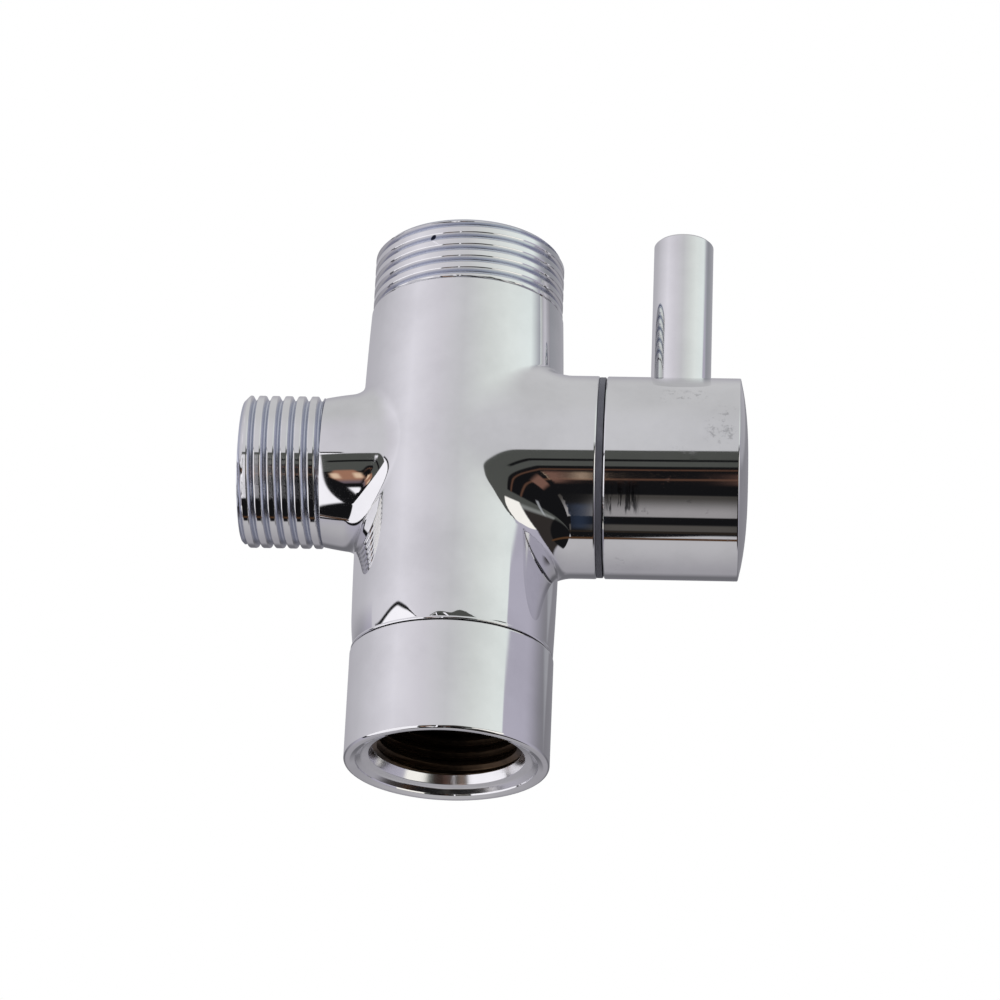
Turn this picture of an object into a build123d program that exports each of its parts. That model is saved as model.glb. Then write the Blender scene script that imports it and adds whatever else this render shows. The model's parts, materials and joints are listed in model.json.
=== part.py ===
"""Shower diverter valve: a cast cross with a turned swivel collar below and a lever knob at the side.

Millimetres. The origin is on the bore line of the swivel inlet, at the lower end of its thread. +Z runs
up through the top outlet, +X out through the lever and -X out through the hose outlet. The sizes below
that end in _z are heights above or below the lever axis, where the two bore lines of the casting cross.
"""
import os
from math import asin, cos, degrees, radians, sin

from build123d import *

os.makedirs("parts", exist_ok=True)

# Clearances
running_gap = 0.05          # radial, between a shaft and its bore
sliding_gap = 0.1           # between faces that turn past each other
seal_gap = 0.01             # between a seal and the metal that it touches
assembly_gap = 0.05         # radial, between pieces that are only put together

# Barrel of the casting, turned about Z, a little wider at its middle
barrel_r = 13.95
barrel_widest_z = -6.0
barrel_top_taper = 0.6      # radius lost towards the top outlet
barrel_bottom_taper = 0.35  # radius lost towards the shoulder
shoulder_z = -27.0

# Top outlet, three quarter inch pipe thread
outlet_thread_r = 13.2205
outlet_end_z = 33.1
outlet_thread_length = 9.4
outlet_bore_r = 9.2
outlet_bore_floor_z = 14.5

# Hose outlet, half inch pipe thread on a tapered neck
hose_thread_r = 10.4775
hose_end_x = -29.7
hose_thread_length = 11.2
hose_neck_r = 10.25
hose_root_r = 10.85
hose_bore_r = 6.8
hose_root_fillet = 1.6

# Both male threads are rings with the thread's pitch and section, and the usual lead-in
thread_pitch = 1.814
thread_depth = 0.66
thread_crest_width = 0.86
thread_flank_width = 0.34
thread_chamfer = 0.7

# Lever port
port_step = 0.05            # the port is turned this much smaller than the barrel
port_end_x = 18.95
port_edge_fillet = 0.6
port_root_fillet = 1.0

# Cross bore for the diverter spool, inside the lever port: each step is wider than the one before
spool_bore_r = 8.0
spool_bore_floor_x = -8.5
flange_step = 1.6
flange_bore_floor_x = 6.9
pilot_step = 0.4
bonnet_thread_step = 1.0

# Water ways, and how far the seat pockets reach beyond the spool's bore
passage_r = 3.9
seat_pocket_r = 5.5
seat_pocket_height = 2.4
inlet_bore_r = 7.4
inlet_bore_roof_z = -12.5
drill_cone_height = 2.0

# Spigot of the casting inside the swivel collar
spigot_r = 9.9
spigot_length = 4.0
spigot_edge = 0.3

# Swivel collar, half inch female pipe thread
collar_step = 0.12          # the collar is turned this much larger than the barrel's foot
collar_length = 15.4
collar_top_edge = 0.25
collar_thread_minor_r = 9.3155
collar_thread_chamfer = 0.7345
collar_thread_end_height = 2.8
collar_relief_depth = 1.2845
collar_rim_width = 1.12
collar_lip_bevel = 0.45
collar_lip_rise = 0.5
collar_cup_step = 0.75
collar_cup_height = 1.6
collar_rim_fillet = 0.7

# Snap ring and seal between the spigot and the collar, at these distances below the shoulder
snap_wire_r = 0.45
snap_ring_drop = 3.2
snap_gap_deg = 24.0
collar_seal_wire_r = 0.65
collar_seal_drop = 1.5
collar_seal_groove_width = 1.6

# Flat rubber washer at the bottom of the female thread
washer_gap = 0.15           # radial, so that it passes the thread
washer_hole_r = 6.0
washer_thickness = 1.9

# Diverter spool: plug, thrust flange and spindle in one turned piece
plug_end_gap = 0.3
flange_thickness = 1.6
spindle_r = 5.0
spindle_step_length = 0.6   # the wide part ends this far short of the knob
knob_spindle_r = 4.0
knob_spindle_length = 14.0
spindle_flat_z = 3.3
spindle_flat_length = 9.5
spool_passage_step = 0.1    # the way through the plug is this much smaller than the casting's
channel_width = 7.0
channel_wall = 0.55
end_recess_r = 5.6
end_recess_depth = 3.3

# The stop pin stands in the floor of the flange bore, and a notch in the flange turns past it
lever_turn_deg = 90.0
stop_pin_r = 0.7
stop_pin_depth = 3.0
stop_pin_angle_deg = 225.0

# Seals that press the seat rings on the plug
seat_seal_wire_r = 0.6

# Bonnet nut, its seal and the two spindle seals inside it, from the nut's inner end
bonnet_pilot_length = 3.29
bonnet_recess = 0.55
bonnet_socket_flats = 14.0
bonnet_socket_depth = 2.8
bonnet_seal_offset = 1.69
spindle_seal_offsets = (2.39, 4.79)
seal_wire_r = 0.75
seal_groove_width = 1.7
thrust_washer_thickness = 0.6

# Grey spacer ring between the port and the knob
spacer_step = 0.12          # the ring is this much smaller than the knob
spacer_thickness = 0.9
spacer_lip_length = 0.4
spacer_lip_width = 1.2
spacer_hole_step = 0.35

# Knob, a turned drum with a low dome on its end
knob_step = 0.03            # the knob is turned this much smaller than the port
knob_gap = 0.15             # between the spacer ring and the knob
knob_length = 18.2
knob_dome_height = 1.2
knob_dome_power = 2.8
knob_edge_chamfer = 0.55
knob_wall = 2.4
knob_end_wall = 4.0
knob_hub_r = 6.6
knob_hub_recess = 2.0

# Lever stick, screwed through the knob on to the flat of the spindle
stick_r = 4.15
stick_from_spindle_end = 4.08
stick_end_z = 36.0
stick_tip_chamfer = 0.35
stick_seat_depth = 0.75
stick_tail_r = 2.45
stick_boss_r = 4.9

# Radii that follow from the sizes above
barrel_top_r = barrel_r - barrel_top_taper
barrel_bottom_r = barrel_r - barrel_bottom_taper
port_r = barrel_r - port_step
knob_r = port_r - knob_step
spacer_r = knob_r - spacer_step
flange_bore_r = spool_bore_r + flange_step
pilot_bore_r = flange_bore_r + pilot_step
bonnet_thread_r = pilot_bore_r + bonnet_thread_step
flange_r = flange_bore_r - sliding_gap
plug_r = spool_bore_r - running_gap
pilot_r = pilot_bore_r - assembly_gap
bonnet_r = bonnet_thread_r - assembly_gap
spacer_lip_inner_r = bonnet_r - spacer_lip_width
spacer_hole_r = spacer_lip_inner_r - spacer_hole_step
spindle_bore_r = spindle_r + running_gap
stop_pin_radius = (spool_bore_r + flange_bore_r) / 2
spool_passage_r = passage_r - spool_passage_step
channel_floor = spool_passage_r + channel_wall
seat_r = seat_pocket_r - assembly_gap
seat_bore_r = passage_r
seat_seal_ring_r = (seat_r + seat_bore_r) / 2
collar_r = barrel_bottom_r + collar_step
collar_bore_r = spigot_r + running_gap
collar_lip_r = collar_r - collar_rim_width
collar_lip_inner_r = collar_lip_r - collar_lip_bevel
collar_mouth_r = collar_thread_minor_r + collar_thread_chamfer
collar_cup_r = collar_mouth_r + collar_cup_step
collar_relief_r = collar_thread_minor_r + collar_relief_depth
washer_r = collar_thread_minor_r - washer_gap

# Heights that follow, from the lever axis
outlet_thread_start_z = outlet_end_z - outlet_thread_length
seat_pocket_depth_z = spool_bore_r + seat_pocket_height
seat_back_z = seat_pocket_depth_z - 2 * seat_seal_wire_r
spigot_end_z = shoulder_z - spigot_length
snap_ring_z = shoulder_z - snap_ring_drop
collar_seal_z = shoulder_z - collar_seal_drop
collar_start_z = shoulder_z - sliding_gap
collar_end_z = collar_start_z - collar_length
collar_cup_z = collar_end_z + collar_cup_height
collar_thread_end_z = collar_end_z + collar_thread_end_height
collar_thread_mouth_z = collar_thread_end_z + collar_thread_chamfer
washer_top_z = spigot_end_z - seal_gap
washer_bottom_z = washer_top_z - washer_thickness
collar_thread_start_z = washer_bottom_z - sliding_gap
stick_base_z = knob_r - stick_seat_depth

# Places along the lever axis that follow
hose_thread_start_x = hose_end_x + hose_thread_length
hose_root_end_x = -(barrel_r + hose_root_fillet)
plug_end_x = spool_bore_floor_x + plug_end_gap
end_recess_x = plug_end_x + end_recess_depth
channel_end_x = spool_passage_r
flange_start_x = flange_bore_floor_x + sliding_gap
flange_end_x = flange_start_x + flange_thickness
thrust_washer_start_x = flange_end_x + seal_gap
bonnet_start_x = thrust_washer_start_x + thrust_washer_thickness
pilot_bore_floor_x = bonnet_start_x
bonnet_thread_floor_x = bonnet_start_x + bonnet_pilot_length
bonnet_end_x = port_end_x - bonnet_recess
bonnet_seal_x = bonnet_start_x + bonnet_seal_offset
spindle_seal_x = tuple(bonnet_start_x + offset for offset in spindle_seal_offsets)
spacer_start_x = port_end_x
spacer_end_x = spacer_start_x + spacer_thickness
knob_start_x = spacer_end_x + knob_gap
knob_face_x = knob_start_x + knob_length
knob_cavity_end_x = knob_face_x - knob_end_wall
spindle_step_x = knob_start_x - spindle_step_length
spindle_end_x = knob_start_x + knob_spindle_length
spindle_flat_start_x = spindle_end_x - spindle_flat_length
stick_x = spindle_end_x - stick_from_spindle_end

# Lever axis, and the planes through it on which every profile is drawn
lever_axis_height = -collar_thread_mouth_z
crossing = (0, 0, lever_axis_height)
lever_axis = Axis(crossing, (1, 0, 0))
front = Plane(crossing, x_dir=(1, 0, 0), z_dir=(0, -1, 0))
across = Plane(crossing, x_dir=(0, 1, 0), z_dir=(1, 0, 0))
level = Plane(crossing)


def groove_depth(wire_r):
    """Depth that lets a round seal of this wire radius sit flush with the wall."""
    return 2 * wire_r


def thread_outline(crest_r, length):
    """Outline of a male thread, as distances from its shoulder and radii, out to its end."""
    groove_width = thread_pitch - thread_crest_width
    root_r = crest_r - thread_depth
    groove_count = int((length - thread_chamfer + thread_crest_width) / thread_pitch)
    outline = []
    for groove in range(groove_count):
        start = groove * thread_pitch
        outline += [
            (start, crest_r),
            (start + thread_flank_width, root_r),
            (start + groove_width - thread_flank_width, root_r),
            (start + groove_width, crest_r),
        ]
    return outline + [(length - thread_chamfer, crest_r), (length, crest_r - thread_chamfer)]


def write(part, name):
    """Label one finished piece and write its file."""
    part.label = name
    export_step(part, f"parts/{name}.step")


# Cast body
with BuildPart() as valve_body:
    with BuildSketch(front) as barrel_profile:
        with BuildLine():
            Polyline(
                (0, spigot_end_z),
                (spigot_r - spigot_edge, spigot_end_z),
                (spigot_r, spigot_end_z + spigot_edge),
                (spigot_r, shoulder_z),
                (barrel_bottom_r, shoulder_z),
            )
            ThreePointArc(
                (barrel_bottom_r, shoulder_z),
                (barrel_r, barrel_widest_z),
                (barrel_top_r, outlet_thread_start_z),
            )
            outlet_thread = [
                (radius, outlet_thread_start_z + distance)
                for distance, radius in thread_outline(outlet_thread_r, outlet_thread_length)
            ]
            Polyline(
                (barrel_top_r, outlet_thread_start_z),
                *outlet_thread,
                (0, outlet_end_z),
                (0, spigot_end_z),
            )
        make_face()
    revolve(axis=Axis.Z)
    with BuildSketch(front) as hose_profile:
        with BuildLine():
            hose_thread = [
                (hose_thread_start_x - distance, radius)
                for distance, radius in thread_outline(hose_thread_r, hose_thread_length)
            ]
            Polyline(
                (0, 0),
                (0, hose_root_r),
                (hose_root_end_x, hose_root_r),
                (hose_thread_start_x, hose_neck_r),
                *hose_thread,
                (hose_end_x, 0),
                close=True,
            )
        make_face()
    revolve(axis=lever_axis)
    hose_join = valve_body.edges(Select.NEW).filter_by(GeomType.BSPLINE)
    fillet(hose_join, hose_root_fillet)
    with BuildSketch(front) as port_profile:
        with BuildLine():
            Polyline((0, 0), (0, port_r), (port_end_x, port_r), (port_end_x, 0), close=True)
        make_face()
    revolve(axis=lever_axis)
    port_join = valve_body.edges(Select.NEW).filter_by(GeomType.BSPLINE)
    fillet(port_join, port_root_fillet)
    port_rim = valve_body.faces().sort_by(Axis.X)[-1].edges()
    fillet(port_rim, port_edge_fillet)

    # Stepped cross bore from the lever port through to the hose outlet
    with BuildSketch(front) as cross_bore_profile:
        with BuildLine():
            Polyline(
                (hose_end_x, 0),
                (hose_end_x, hose_bore_r),
                (spool_bore_floor_x, hose_bore_r),
                (spool_bore_floor_x, spool_bore_r),
                (flange_bore_floor_x, spool_bore_r),
                (flange_bore_floor_x, flange_bore_r),
                (pilot_bore_floor_x, flange_bore_r),
                (pilot_bore_floor_x, pilot_bore_r),
                (bonnet_thread_floor_x, pilot_bore_r),
                (bonnet_thread_floor_x, bonnet_thread_r),
                (port_end_x, bonnet_thread_r),
                (port_end_x, 0),
                close=True,
            )
        make_face()
    revolve(axis=lever_axis, mode=Mode.SUBTRACT)

    # Upright bore: inlet below, seat pockets either side of the spool, outlet above
    with BuildSketch(front) as upright_bore_profile:
        with BuildLine():
            Polyline(
                (0, spigot_end_z),
                (inlet_bore_r, spigot_end_z),
                (inlet_bore_r, inlet_bore_roof_z - drill_cone_height),
                (passage_r, inlet_bore_roof_z),
                (passage_r, -seat_pocket_depth_z),
                (seat_pocket_r, -seat_pocket_depth_z),
                (seat_pocket_r, seat_pocket_depth_z),
                (passage_r, seat_pocket_depth_z),
                (passage_r, outlet_bore_floor_z - drill_cone_height),
                (outlet_bore_r, outlet_bore_floor_z),
                (outlet_bore_r, outlet_end_z),
                (0, outlet_end_z),
                close=True,
            )
        make_face()
    revolve(axis=Axis.Z, mode=Mode.SUBTRACT)

    # Grooves round the spigot for the seal and the snap ring
    with BuildSketch(front) as spigot_groove_profile:
        with Locations((spigot_r, collar_seal_z)):
            Rectangle(2 * groove_depth(collar_seal_wire_r), collar_seal_groove_width)
        with Locations((spigot_r, snap_ring_z)):
            Rectangle(2 * snap_wire_r, 2 * (snap_wire_r + seal_gap))
    revolve(axis=Axis.Z, mode=Mode.SUBTRACT)

    # Hole for the stop pin, in the floor of the flange bore
    with BuildSketch(across.offset(flange_bore_floor_x - stop_pin_depth)) as stop_hole:
        with PolarLocations(stop_pin_radius, 1, start_angle=stop_pin_angle_deg):
            Circle(stop_pin_r)
    extrude(amount=stop_pin_depth, mode=Mode.SUBTRACT)
write(valve_body.part, "valve_body")

# Swivel collar
with BuildPart() as swivel_collar:
    with BuildSketch(front) as collar_profile:
        with BuildLine():
            Polyline(
                (collar_bore_r, collar_start_z),
                (collar_r - collar_top_edge, collar_start_z),
                (collar_r, collar_start_z - collar_top_edge),
                (collar_r, collar_end_z),
                (collar_lip_r, collar_end_z),
                (collar_lip_inner_r, collar_end_z + collar_lip_rise),
                (collar_cup_r, collar_cup_z),
                (collar_mouth_r, collar_thread_end_z),
                (collar_thread_minor_r, collar_thread_mouth_z),
                (collar_thread_minor_r, collar_thread_start_z),
                (collar_relief_r, collar_thread_start_z),
                (collar_relief_r, spigot_end_z),
                (collar_bore_r, spigot_end_z),
                close=True,
            )
        make_face()
    revolve(axis=Axis.Z)
    collar_rim = swivel_collar.edges().group_by(Axis.Z)[0].sort_by(SortBy.LENGTH)[-1]
    fillet(collar_rim, collar_rim_fillet)
    with BuildSketch(front) as collar_groove_profile:
        with Locations((collar_bore_r, snap_ring_z)):
            Rectangle(2 * (snap_wire_r + seal_gap), 2 * (snap_wire_r + sliding_gap))
    revolve(axis=Axis.Z, mode=Mode.SUBTRACT)
write(swivel_collar.part, "swivel_collar")

# Split wire ring that holds the collar on the spigot
with BuildPart() as collar_snap_ring:
    with BuildSketch(front) as snap_wire:
        with Locations((spigot_r, snap_ring_z)):
            Circle(snap_wire_r)
    revolve(axis=Axis.Z, revolution_arc=360.0 - snap_gap_deg)
write(collar_snap_ring.part, "collar_snap_ring")

# Seal in the spigot's groove
with BuildPart() as collar_o_ring:
    with BuildSketch(front) as collar_seal_wire:
        with Locations((spigot_r - collar_seal_wire_r, collar_seal_z)):
            Circle(collar_seal_wire_r)
    revolve(axis=Axis.Z)
write(collar_o_ring.part, "collar_o_ring")

# Flat washer that the shower arm is screwed against
with BuildPart() as inlet_washer:
    with BuildSketch(level.offset(washer_bottom_z)):
        Circle(washer_r)
        Circle(washer_hole_r, mode=Mode.SUBTRACT)
    extrude(amount=washer_thickness)
write(inlet_washer.part, "inlet_washer")

# Diverter spool with its spindle
with BuildPart() as diverter_spool:
    with BuildSketch(front) as spool_profile:
        with BuildLine():
            Polyline(
                (plug_end_x, 0),
                (plug_end_x, plug_r),
                (flange_start_x, plug_r),
                (flange_start_x, flange_r),
                (flange_end_x, flange_r),
                (flange_end_x, spindle_r),
                (spindle_step_x, spindle_r),
                (spindle_step_x, knob_spindle_r),
                (spindle_end_x, knob_spindle_r),
                (spindle_end_x, 0),
                close=True,
            )
        make_face()
    revolve(axis=lever_axis)

    # Straight way from the inlet up to the top outlet
    with BuildSketch(level.offset(-spool_bore_r)) as straight_way:
        Circle(spool_passage_r)
    extrude(amount=2 * spool_bore_r, mode=Mode.SUBTRACT)

    # Side channel that faces the inlet when the lever is turned, open to the end of the plug
    with BuildSketch(front.offset(channel_floor)) as side_channel:
        with Locations((channel_end_x - channel_width / 2, 0)):
            Circle(channel_width / 2)
        channel_run = channel_end_x - channel_width / 2 - plug_end_x
        with Locations((plug_end_x + channel_run / 2, 0)):
            Rectangle(channel_run, channel_width)
    extrude(amount=spool_bore_r - channel_floor, mode=Mode.SUBTRACT)
    with BuildSketch(across.offset(plug_end_x)) as end_recess:
        Circle(end_recess_r)
    extrude(amount=end_recess_x - plug_end_x, mode=Mode.SUBTRACT)

    # Grooves for the two spindle seals
    with BuildSketch(front) as spindle_grooves:
        for seal_x in spindle_seal_x:
            with Locations((seal_x, spindle_r)):
                Rectangle(seal_groove_width, 2 * groove_depth(seal_wire_r))
    revolve(axis=lever_axis, mode=Mode.SUBTRACT)

    # Notch in the flange that stops the spool after a quarter turn
    stop_clearance_deg = degrees(asin((stop_pin_r + sliding_gap) / stop_pin_radius))
    notch_start_deg = stop_pin_angle_deg - lever_turn_deg - stop_clearance_deg
    notch_end_deg = stop_pin_angle_deg + stop_clearance_deg
    notch_middle_deg = (notch_start_deg + notch_end_deg) / 2
    notch_reach_r = flange_r + sliding_gap
    with BuildSketch(across.offset(flange_start_x)) as stop_notch:
        with BuildLine():
            notch_ends = [
                (radius * cos(radians(angle)), radius * sin(radians(angle)))
                for radius, angle in (
                    (plug_r, notch_start_deg),
                    (notch_reach_r, notch_start_deg),
                    (notch_reach_r, notch_end_deg),
                    (plug_r, notch_end_deg),
                )
            ]
            outer_middle = (
                notch_reach_r * cos(radians(notch_middle_deg)),
                notch_reach_r * sin(radians(notch_middle_deg)),
            )
            inner_middle = (
                plug_r * cos(radians(notch_middle_deg)),
                plug_r * sin(radians(notch_middle_deg)),
            )
            Line(notch_ends[0], notch_ends[1])
            ThreePointArc(notch_ends[1], outer_middle, notch_ends[2])
            Line(notch_ends[2], notch_ends[3])
            ThreePointArc(notch_ends[3], inner_middle, notch_ends[0])
        make_face()
    extrude(amount=flange_thickness, mode=Mode.SUBTRACT)

    # Flat on the spindle that the lever stick bears on
    with BuildSketch(level.offset(spindle_flat_z)) as spindle_flat:
        with Locations(((spindle_flat_start_x + spindle_end_x) / 2, 0)):
            Rectangle(spindle_end_x - spindle_flat_start_x, 2 * knob_spindle_r)
    extrude(amount=knob_spindle_r - spindle_flat_z, mode=Mode.SUBTRACT)
write(diverter_spool.part, "diverter_spool")

# Stop pin, pressed into the casting
with BuildPart() as stop_pin:
    with BuildSketch(across.offset(flange_bore_floor_x - stop_pin_depth)):
        with PolarLocations(stop_pin_radius, 1, start_angle=stop_pin_angle_deg):
            Circle(stop_pin_r)
    extrude(amount=stop_pin_depth + flange_thickness)
write(stop_pin.part, "stop_pin")

# Saddle-faced seat ring and its seal, below and above the plug
for way, side in (("inlet", -1), ("outlet", 1)):
    with BuildPart() as seat_ring:
        with BuildSketch(level.offset(side * seat_back_z)):
            Circle(seat_r)
            Circle(seat_bore_r, mode=Mode.SUBTRACT)
        extrude(amount=-side * (seat_back_z - seat_pocket_r))
        with BuildSketch(across.offset(-seat_pocket_r)):
            Circle(plug_r + seal_gap)
        extrude(amount=2 * seat_pocket_r, mode=Mode.SUBTRACT)
    write(seat_ring.part, f"{way}_seat_ring")
    with BuildPart() as seat_o_ring:
        with BuildSketch(front):
            with Locations((seat_seal_ring_r, side * (seat_back_z + seat_seal_wire_r))):
                Circle(seat_seal_wire_r)
        revolve(axis=Axis.Z)
    write(seat_o_ring.part, f"{way}_seat_o_ring")

# Seals on the spindle
for place, seal_x in zip(("inner", "outer"), spindle_seal_x):
    with BuildPart() as spindle_o_ring:
        with BuildSketch(front):
            with Locations((seal_x, spindle_r - seal_wire_r)):
                Circle(seal_wire_r)
        revolve(axis=lever_axis)
    write(spindle_o_ring.part, f"spindle_o_ring_{place}")

# Thrust washer between the flange and the bonnet nut
with BuildPart() as thrust_washer:
    with BuildSketch(across.offset(thrust_washer_start_x)):
        Circle(flange_r)
        Circle(spindle_bore_r, mode=Mode.SUBTRACT)
    extrude(amount=thrust_washer_thickness)
write(thrust_washer.part, "thrust_washer")

# Bonnet nut with a hexagon socket
with BuildPart() as bonnet_nut:
    with BuildSketch(front) as bonnet_profile:
        with BuildLine():
            Polyline(
                (bonnet_start_x, spindle_bore_r),
                (bonnet_start_x, pilot_r),
                (bonnet_thread_floor_x + sliding_gap, pilot_r),
                (bonnet_thread_floor_x + sliding_gap, bonnet_r),
                (bonnet_end_x, bonnet_r),
                (bonnet_end_x, spindle_bore_r),
                close=True,
            )
        make_face()
        with Locations((bonnet_seal_x, pilot_r)):
            Rectangle(seal_groove_width, 2 * groove_depth(seal_wire_r), mode=Mode.SUBTRACT)
    revolve(axis=lever_axis)
    with BuildSketch(across.offset(bonnet_end_x - bonnet_socket_depth)):
        RegularPolygon(bonnet_socket_flats / 2, 6, major_radius=False)
    extrude(amount=bonnet_socket_depth, mode=Mode.SUBTRACT)
write(bonnet_nut.part, "bonnet_nut")

with BuildPart() as bonnet_o_ring:
    with BuildSketch(front):
        with Locations((bonnet_seal_x, pilot_r - seal_wire_r)):
            Circle(seal_wire_r)
    revolve(axis=lever_axis)
write(bonnet_o_ring.part, "bonnet_o_ring")

# Grey spacer ring with a locating lip inside the port
with BuildPart() as spacer_ring:
    with BuildSketch(front) as spacer_profile:
        with BuildLine():
            Polyline(
                (spacer_start_x - spacer_lip_length, spacer_lip_inner_r),
                (spacer_start_x - spacer_lip_length, bonnet_r),
                (spacer_start_x, bonnet_r),
                (spacer_start_x, spacer_r),
                (spacer_end_x, spacer_r),
                (spacer_end_x, spacer_hole_r),
                (spacer_start_x, spacer_hole_r),
                (spacer_start_x, spacer_lip_inner_r),
                close=True,
            )
        make_face()
    revolve(axis=lever_axis)
write(spacer_ring.part, "spacer_ring")

# Knob
with BuildPart() as knob:
    with BuildSketch(front) as knob_profile:
        with BuildLine():
            dome_steps = 8
            dome_points = [
                (
                    knob_face_x + knob_dome_height * (1 - (1 - step / dome_steps) ** knob_dome_power),
                    knob_r * (1 - step / dome_steps),
                )
                for step in range(dome_steps + 1)
            ]
            Polyline(
                (knob_face_x + knob_dome_height, 0),
                (knob_start_x, 0),
                (knob_start_x, knob_r - knob_edge_chamfer),
                (knob_start_x + knob_edge_chamfer, knob_r),
                (knob_face_x, knob_r),
            )
            Spline(*dome_points)
        make_face()
    revolve(axis=lever_axis)

    # Open cavity behind the spacer ring, round a hub that is bored for the spindle
    with BuildSketch(front) as knob_cavity_profile:
        with BuildLine():
            Polyline(
                (knob_start_x, 0),
                (knob_start_x, knob_r - knob_wall),
                (knob_cavity_end_x, knob_r - knob_wall),
                (knob_cavity_end_x, knob_hub_r),
                (knob_start_x + knob_hub_recess, knob_hub_r),
                (knob_start_x + knob_hub_recess, 0),
                close=True,
            )
        make_face()
    revolve(axis=lever_axis, mode=Mode.SUBTRACT)
    with BuildSketch(level.offset(knob_spindle_r)) as stick_boss:
        with Locations((stick_x, 0)):
            Circle(stick_boss_r)
    extrude(amount=knob_r - knob_wall / 2 - knob_spindle_r)
    with BuildSketch(across.offset(knob_start_x)) as spindle_hole:
        Circle(knob_spindle_r + assembly_gap)
    extrude(amount=spindle_end_x + sliding_gap - knob_start_x, mode=Mode.SUBTRACT)
    with BuildSketch(level) as stick_hole:
        with Locations((stick_x, 0)):
            Circle(stick_tail_r + assembly_gap)
    extrude(amount=knob_r, mode=Mode.SUBTRACT)
    with BuildSketch(level.offset(stick_base_z)) as stick_seat:
        with Locations((stick_x, 0)):
            Circle(stick_r + assembly_gap)
    extrude(amount=stick_seat_depth, mode=Mode.SUBTRACT)
write(knob.part, "knob")

# Lever stick with its threaded tail
with BuildPart() as lever_stick:
    with BuildSketch(level.offset(spindle_flat_z)) as stick_tail:
        with Locations((stick_x, 0)):
            Circle(stick_tail_r)
    extrude(amount=stick_base_z - spindle_flat_z)
    with BuildSketch(level.offset(stick_base_z)) as stick_shank:
        with Locations((stick_x, 0)):
            Circle(stick_r)
    extrude(amount=stick_end_z - stick_base_z)
    stick_tip = lever_stick.faces().sort_by(Axis.Z)[-1].edges()
    chamfer(stick_tip, stick_tip_chamfer)
write(lever_stick.part, "lever_stick")
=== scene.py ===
"""Shower diverter valve: the finished look of a chromed three-way valve, laid out as an add-on."""

import json
import math

import bmesh
import bpy
import numpy as np
from mathutils import Matrix, Vector


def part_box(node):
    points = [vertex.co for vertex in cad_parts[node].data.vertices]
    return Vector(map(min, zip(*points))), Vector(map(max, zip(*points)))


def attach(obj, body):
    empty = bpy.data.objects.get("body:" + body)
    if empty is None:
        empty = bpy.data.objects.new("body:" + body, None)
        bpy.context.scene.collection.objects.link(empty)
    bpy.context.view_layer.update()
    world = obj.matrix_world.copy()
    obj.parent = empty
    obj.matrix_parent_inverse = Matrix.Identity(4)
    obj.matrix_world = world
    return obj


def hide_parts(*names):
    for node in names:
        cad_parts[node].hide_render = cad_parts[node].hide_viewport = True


bl_info = {
    "name": "Shower diverter valve",
    "version": (1, 0, 0),
    "blender": (4, 5, 0),
    "location": "View3D > Sidebar > Valve",
    "description": "Builds the visible pieces, finishes and studio of a shower diverter valve",
    "category": "Add Mesh",
}

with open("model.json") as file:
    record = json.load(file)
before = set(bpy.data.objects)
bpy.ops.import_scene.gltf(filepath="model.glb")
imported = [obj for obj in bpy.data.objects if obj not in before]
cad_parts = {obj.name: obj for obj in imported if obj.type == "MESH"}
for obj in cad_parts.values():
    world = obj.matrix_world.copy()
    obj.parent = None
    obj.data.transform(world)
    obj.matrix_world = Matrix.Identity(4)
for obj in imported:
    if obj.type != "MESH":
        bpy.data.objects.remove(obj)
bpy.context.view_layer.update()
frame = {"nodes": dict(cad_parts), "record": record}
KNOB_LOW, KNOB_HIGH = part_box("knob")
COLLAR_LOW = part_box("swivel_collar")[0]

# The two bore lines cross at this height above the origin
AXIS_Z = (KNOB_LOW.z + KNOB_HIGH.z) / 2

# Shapes are worked out in millimetres from the crossing, then scaled to metres
MM = 0.001
FROM_CROSSING = Matrix.Translation((0, 0, AXIS_Z)) @ Matrix.Scale(MM, 4)

# The nick in the top thread, painted as shade in its hollow and a highlight on its lip: middle (x, z),
# lean and half sizes, in millimetres from the crossing
NICK_HOLLOW = ((-4.4, 30.4), (0.94, 0.34), (0.42, 0.20))
NICK_LIP = ((-4.1, 29.4), (0.8, -0.6), (0.75, 0.13))

# How far the floor lies under the collar, in metres
FLOOR_GAP = 0.0001

# Points round every turned surface, so that neighbouring rings meet point to point
ROUND = 160

# How many of those points each male thread is turned by, so that its ridges lie as they should
TOP_START = 20
SIDE_START = 90

# Points per turn along a thread
THREAD_ROWS = 20

# Edges that bend by more degrees than this are shaded sharp
SHARP = 28.0
COLLAR_SHARP = 25.0

# Half the angle at a corner, in radians, over which its two sides count as one line
STRAIGHT = 1.56

# With fewer points than this on its blended skin, the casting has gone wrong
FEWEST_SKIN_POINTS = 5000

# Where bare or turned metal begins, in millimetres from the crossing: walls by radius, ends by height
FOOT_FACE_Z = -27.02
UPRIGHT_WALL_R = 9.4
HOSE_WALL_R = 6.95
PORT_WALL_R = 11.05
CUP_WALL_R = 12.16
CUP_TOP_Z = -39.0
RELIEF_WALL_R = 10.7

# Distances in millimetres under which a point counts as on a thread's end, and as on the skin
ON_END = 1e-5
ON_SKIN = 2e-3


def length(name, description, default_mm):
    """A size property in metres, given here in millimetres."""
    return bpy.props.FloatProperty(
        name=name, description=description, default=default_mm * MM, unit="LENGTH", precision=5
    )


def colour(name, description, default):
    """A linear colour property."""
    return bpy.props.FloatVectorProperty(
        name=name, description=description, default=default, size=3, subtype="COLOR", min=0, max=1
    )


def angle(name, description, default_degrees):
    """An angle property, given here in degrees."""
    return bpy.props.FloatProperty(
        name=name,
        description=description,
        default=math.radians(default_degrees),
        subtype="ANGLE",
        unit="ROTATION",
    )


def in_mm(sizes):
    """The sizes of one group in millimetres, by name."""
    return {key: getattr(sizes, key) / MM for key in sizes.__annotations__}


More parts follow.
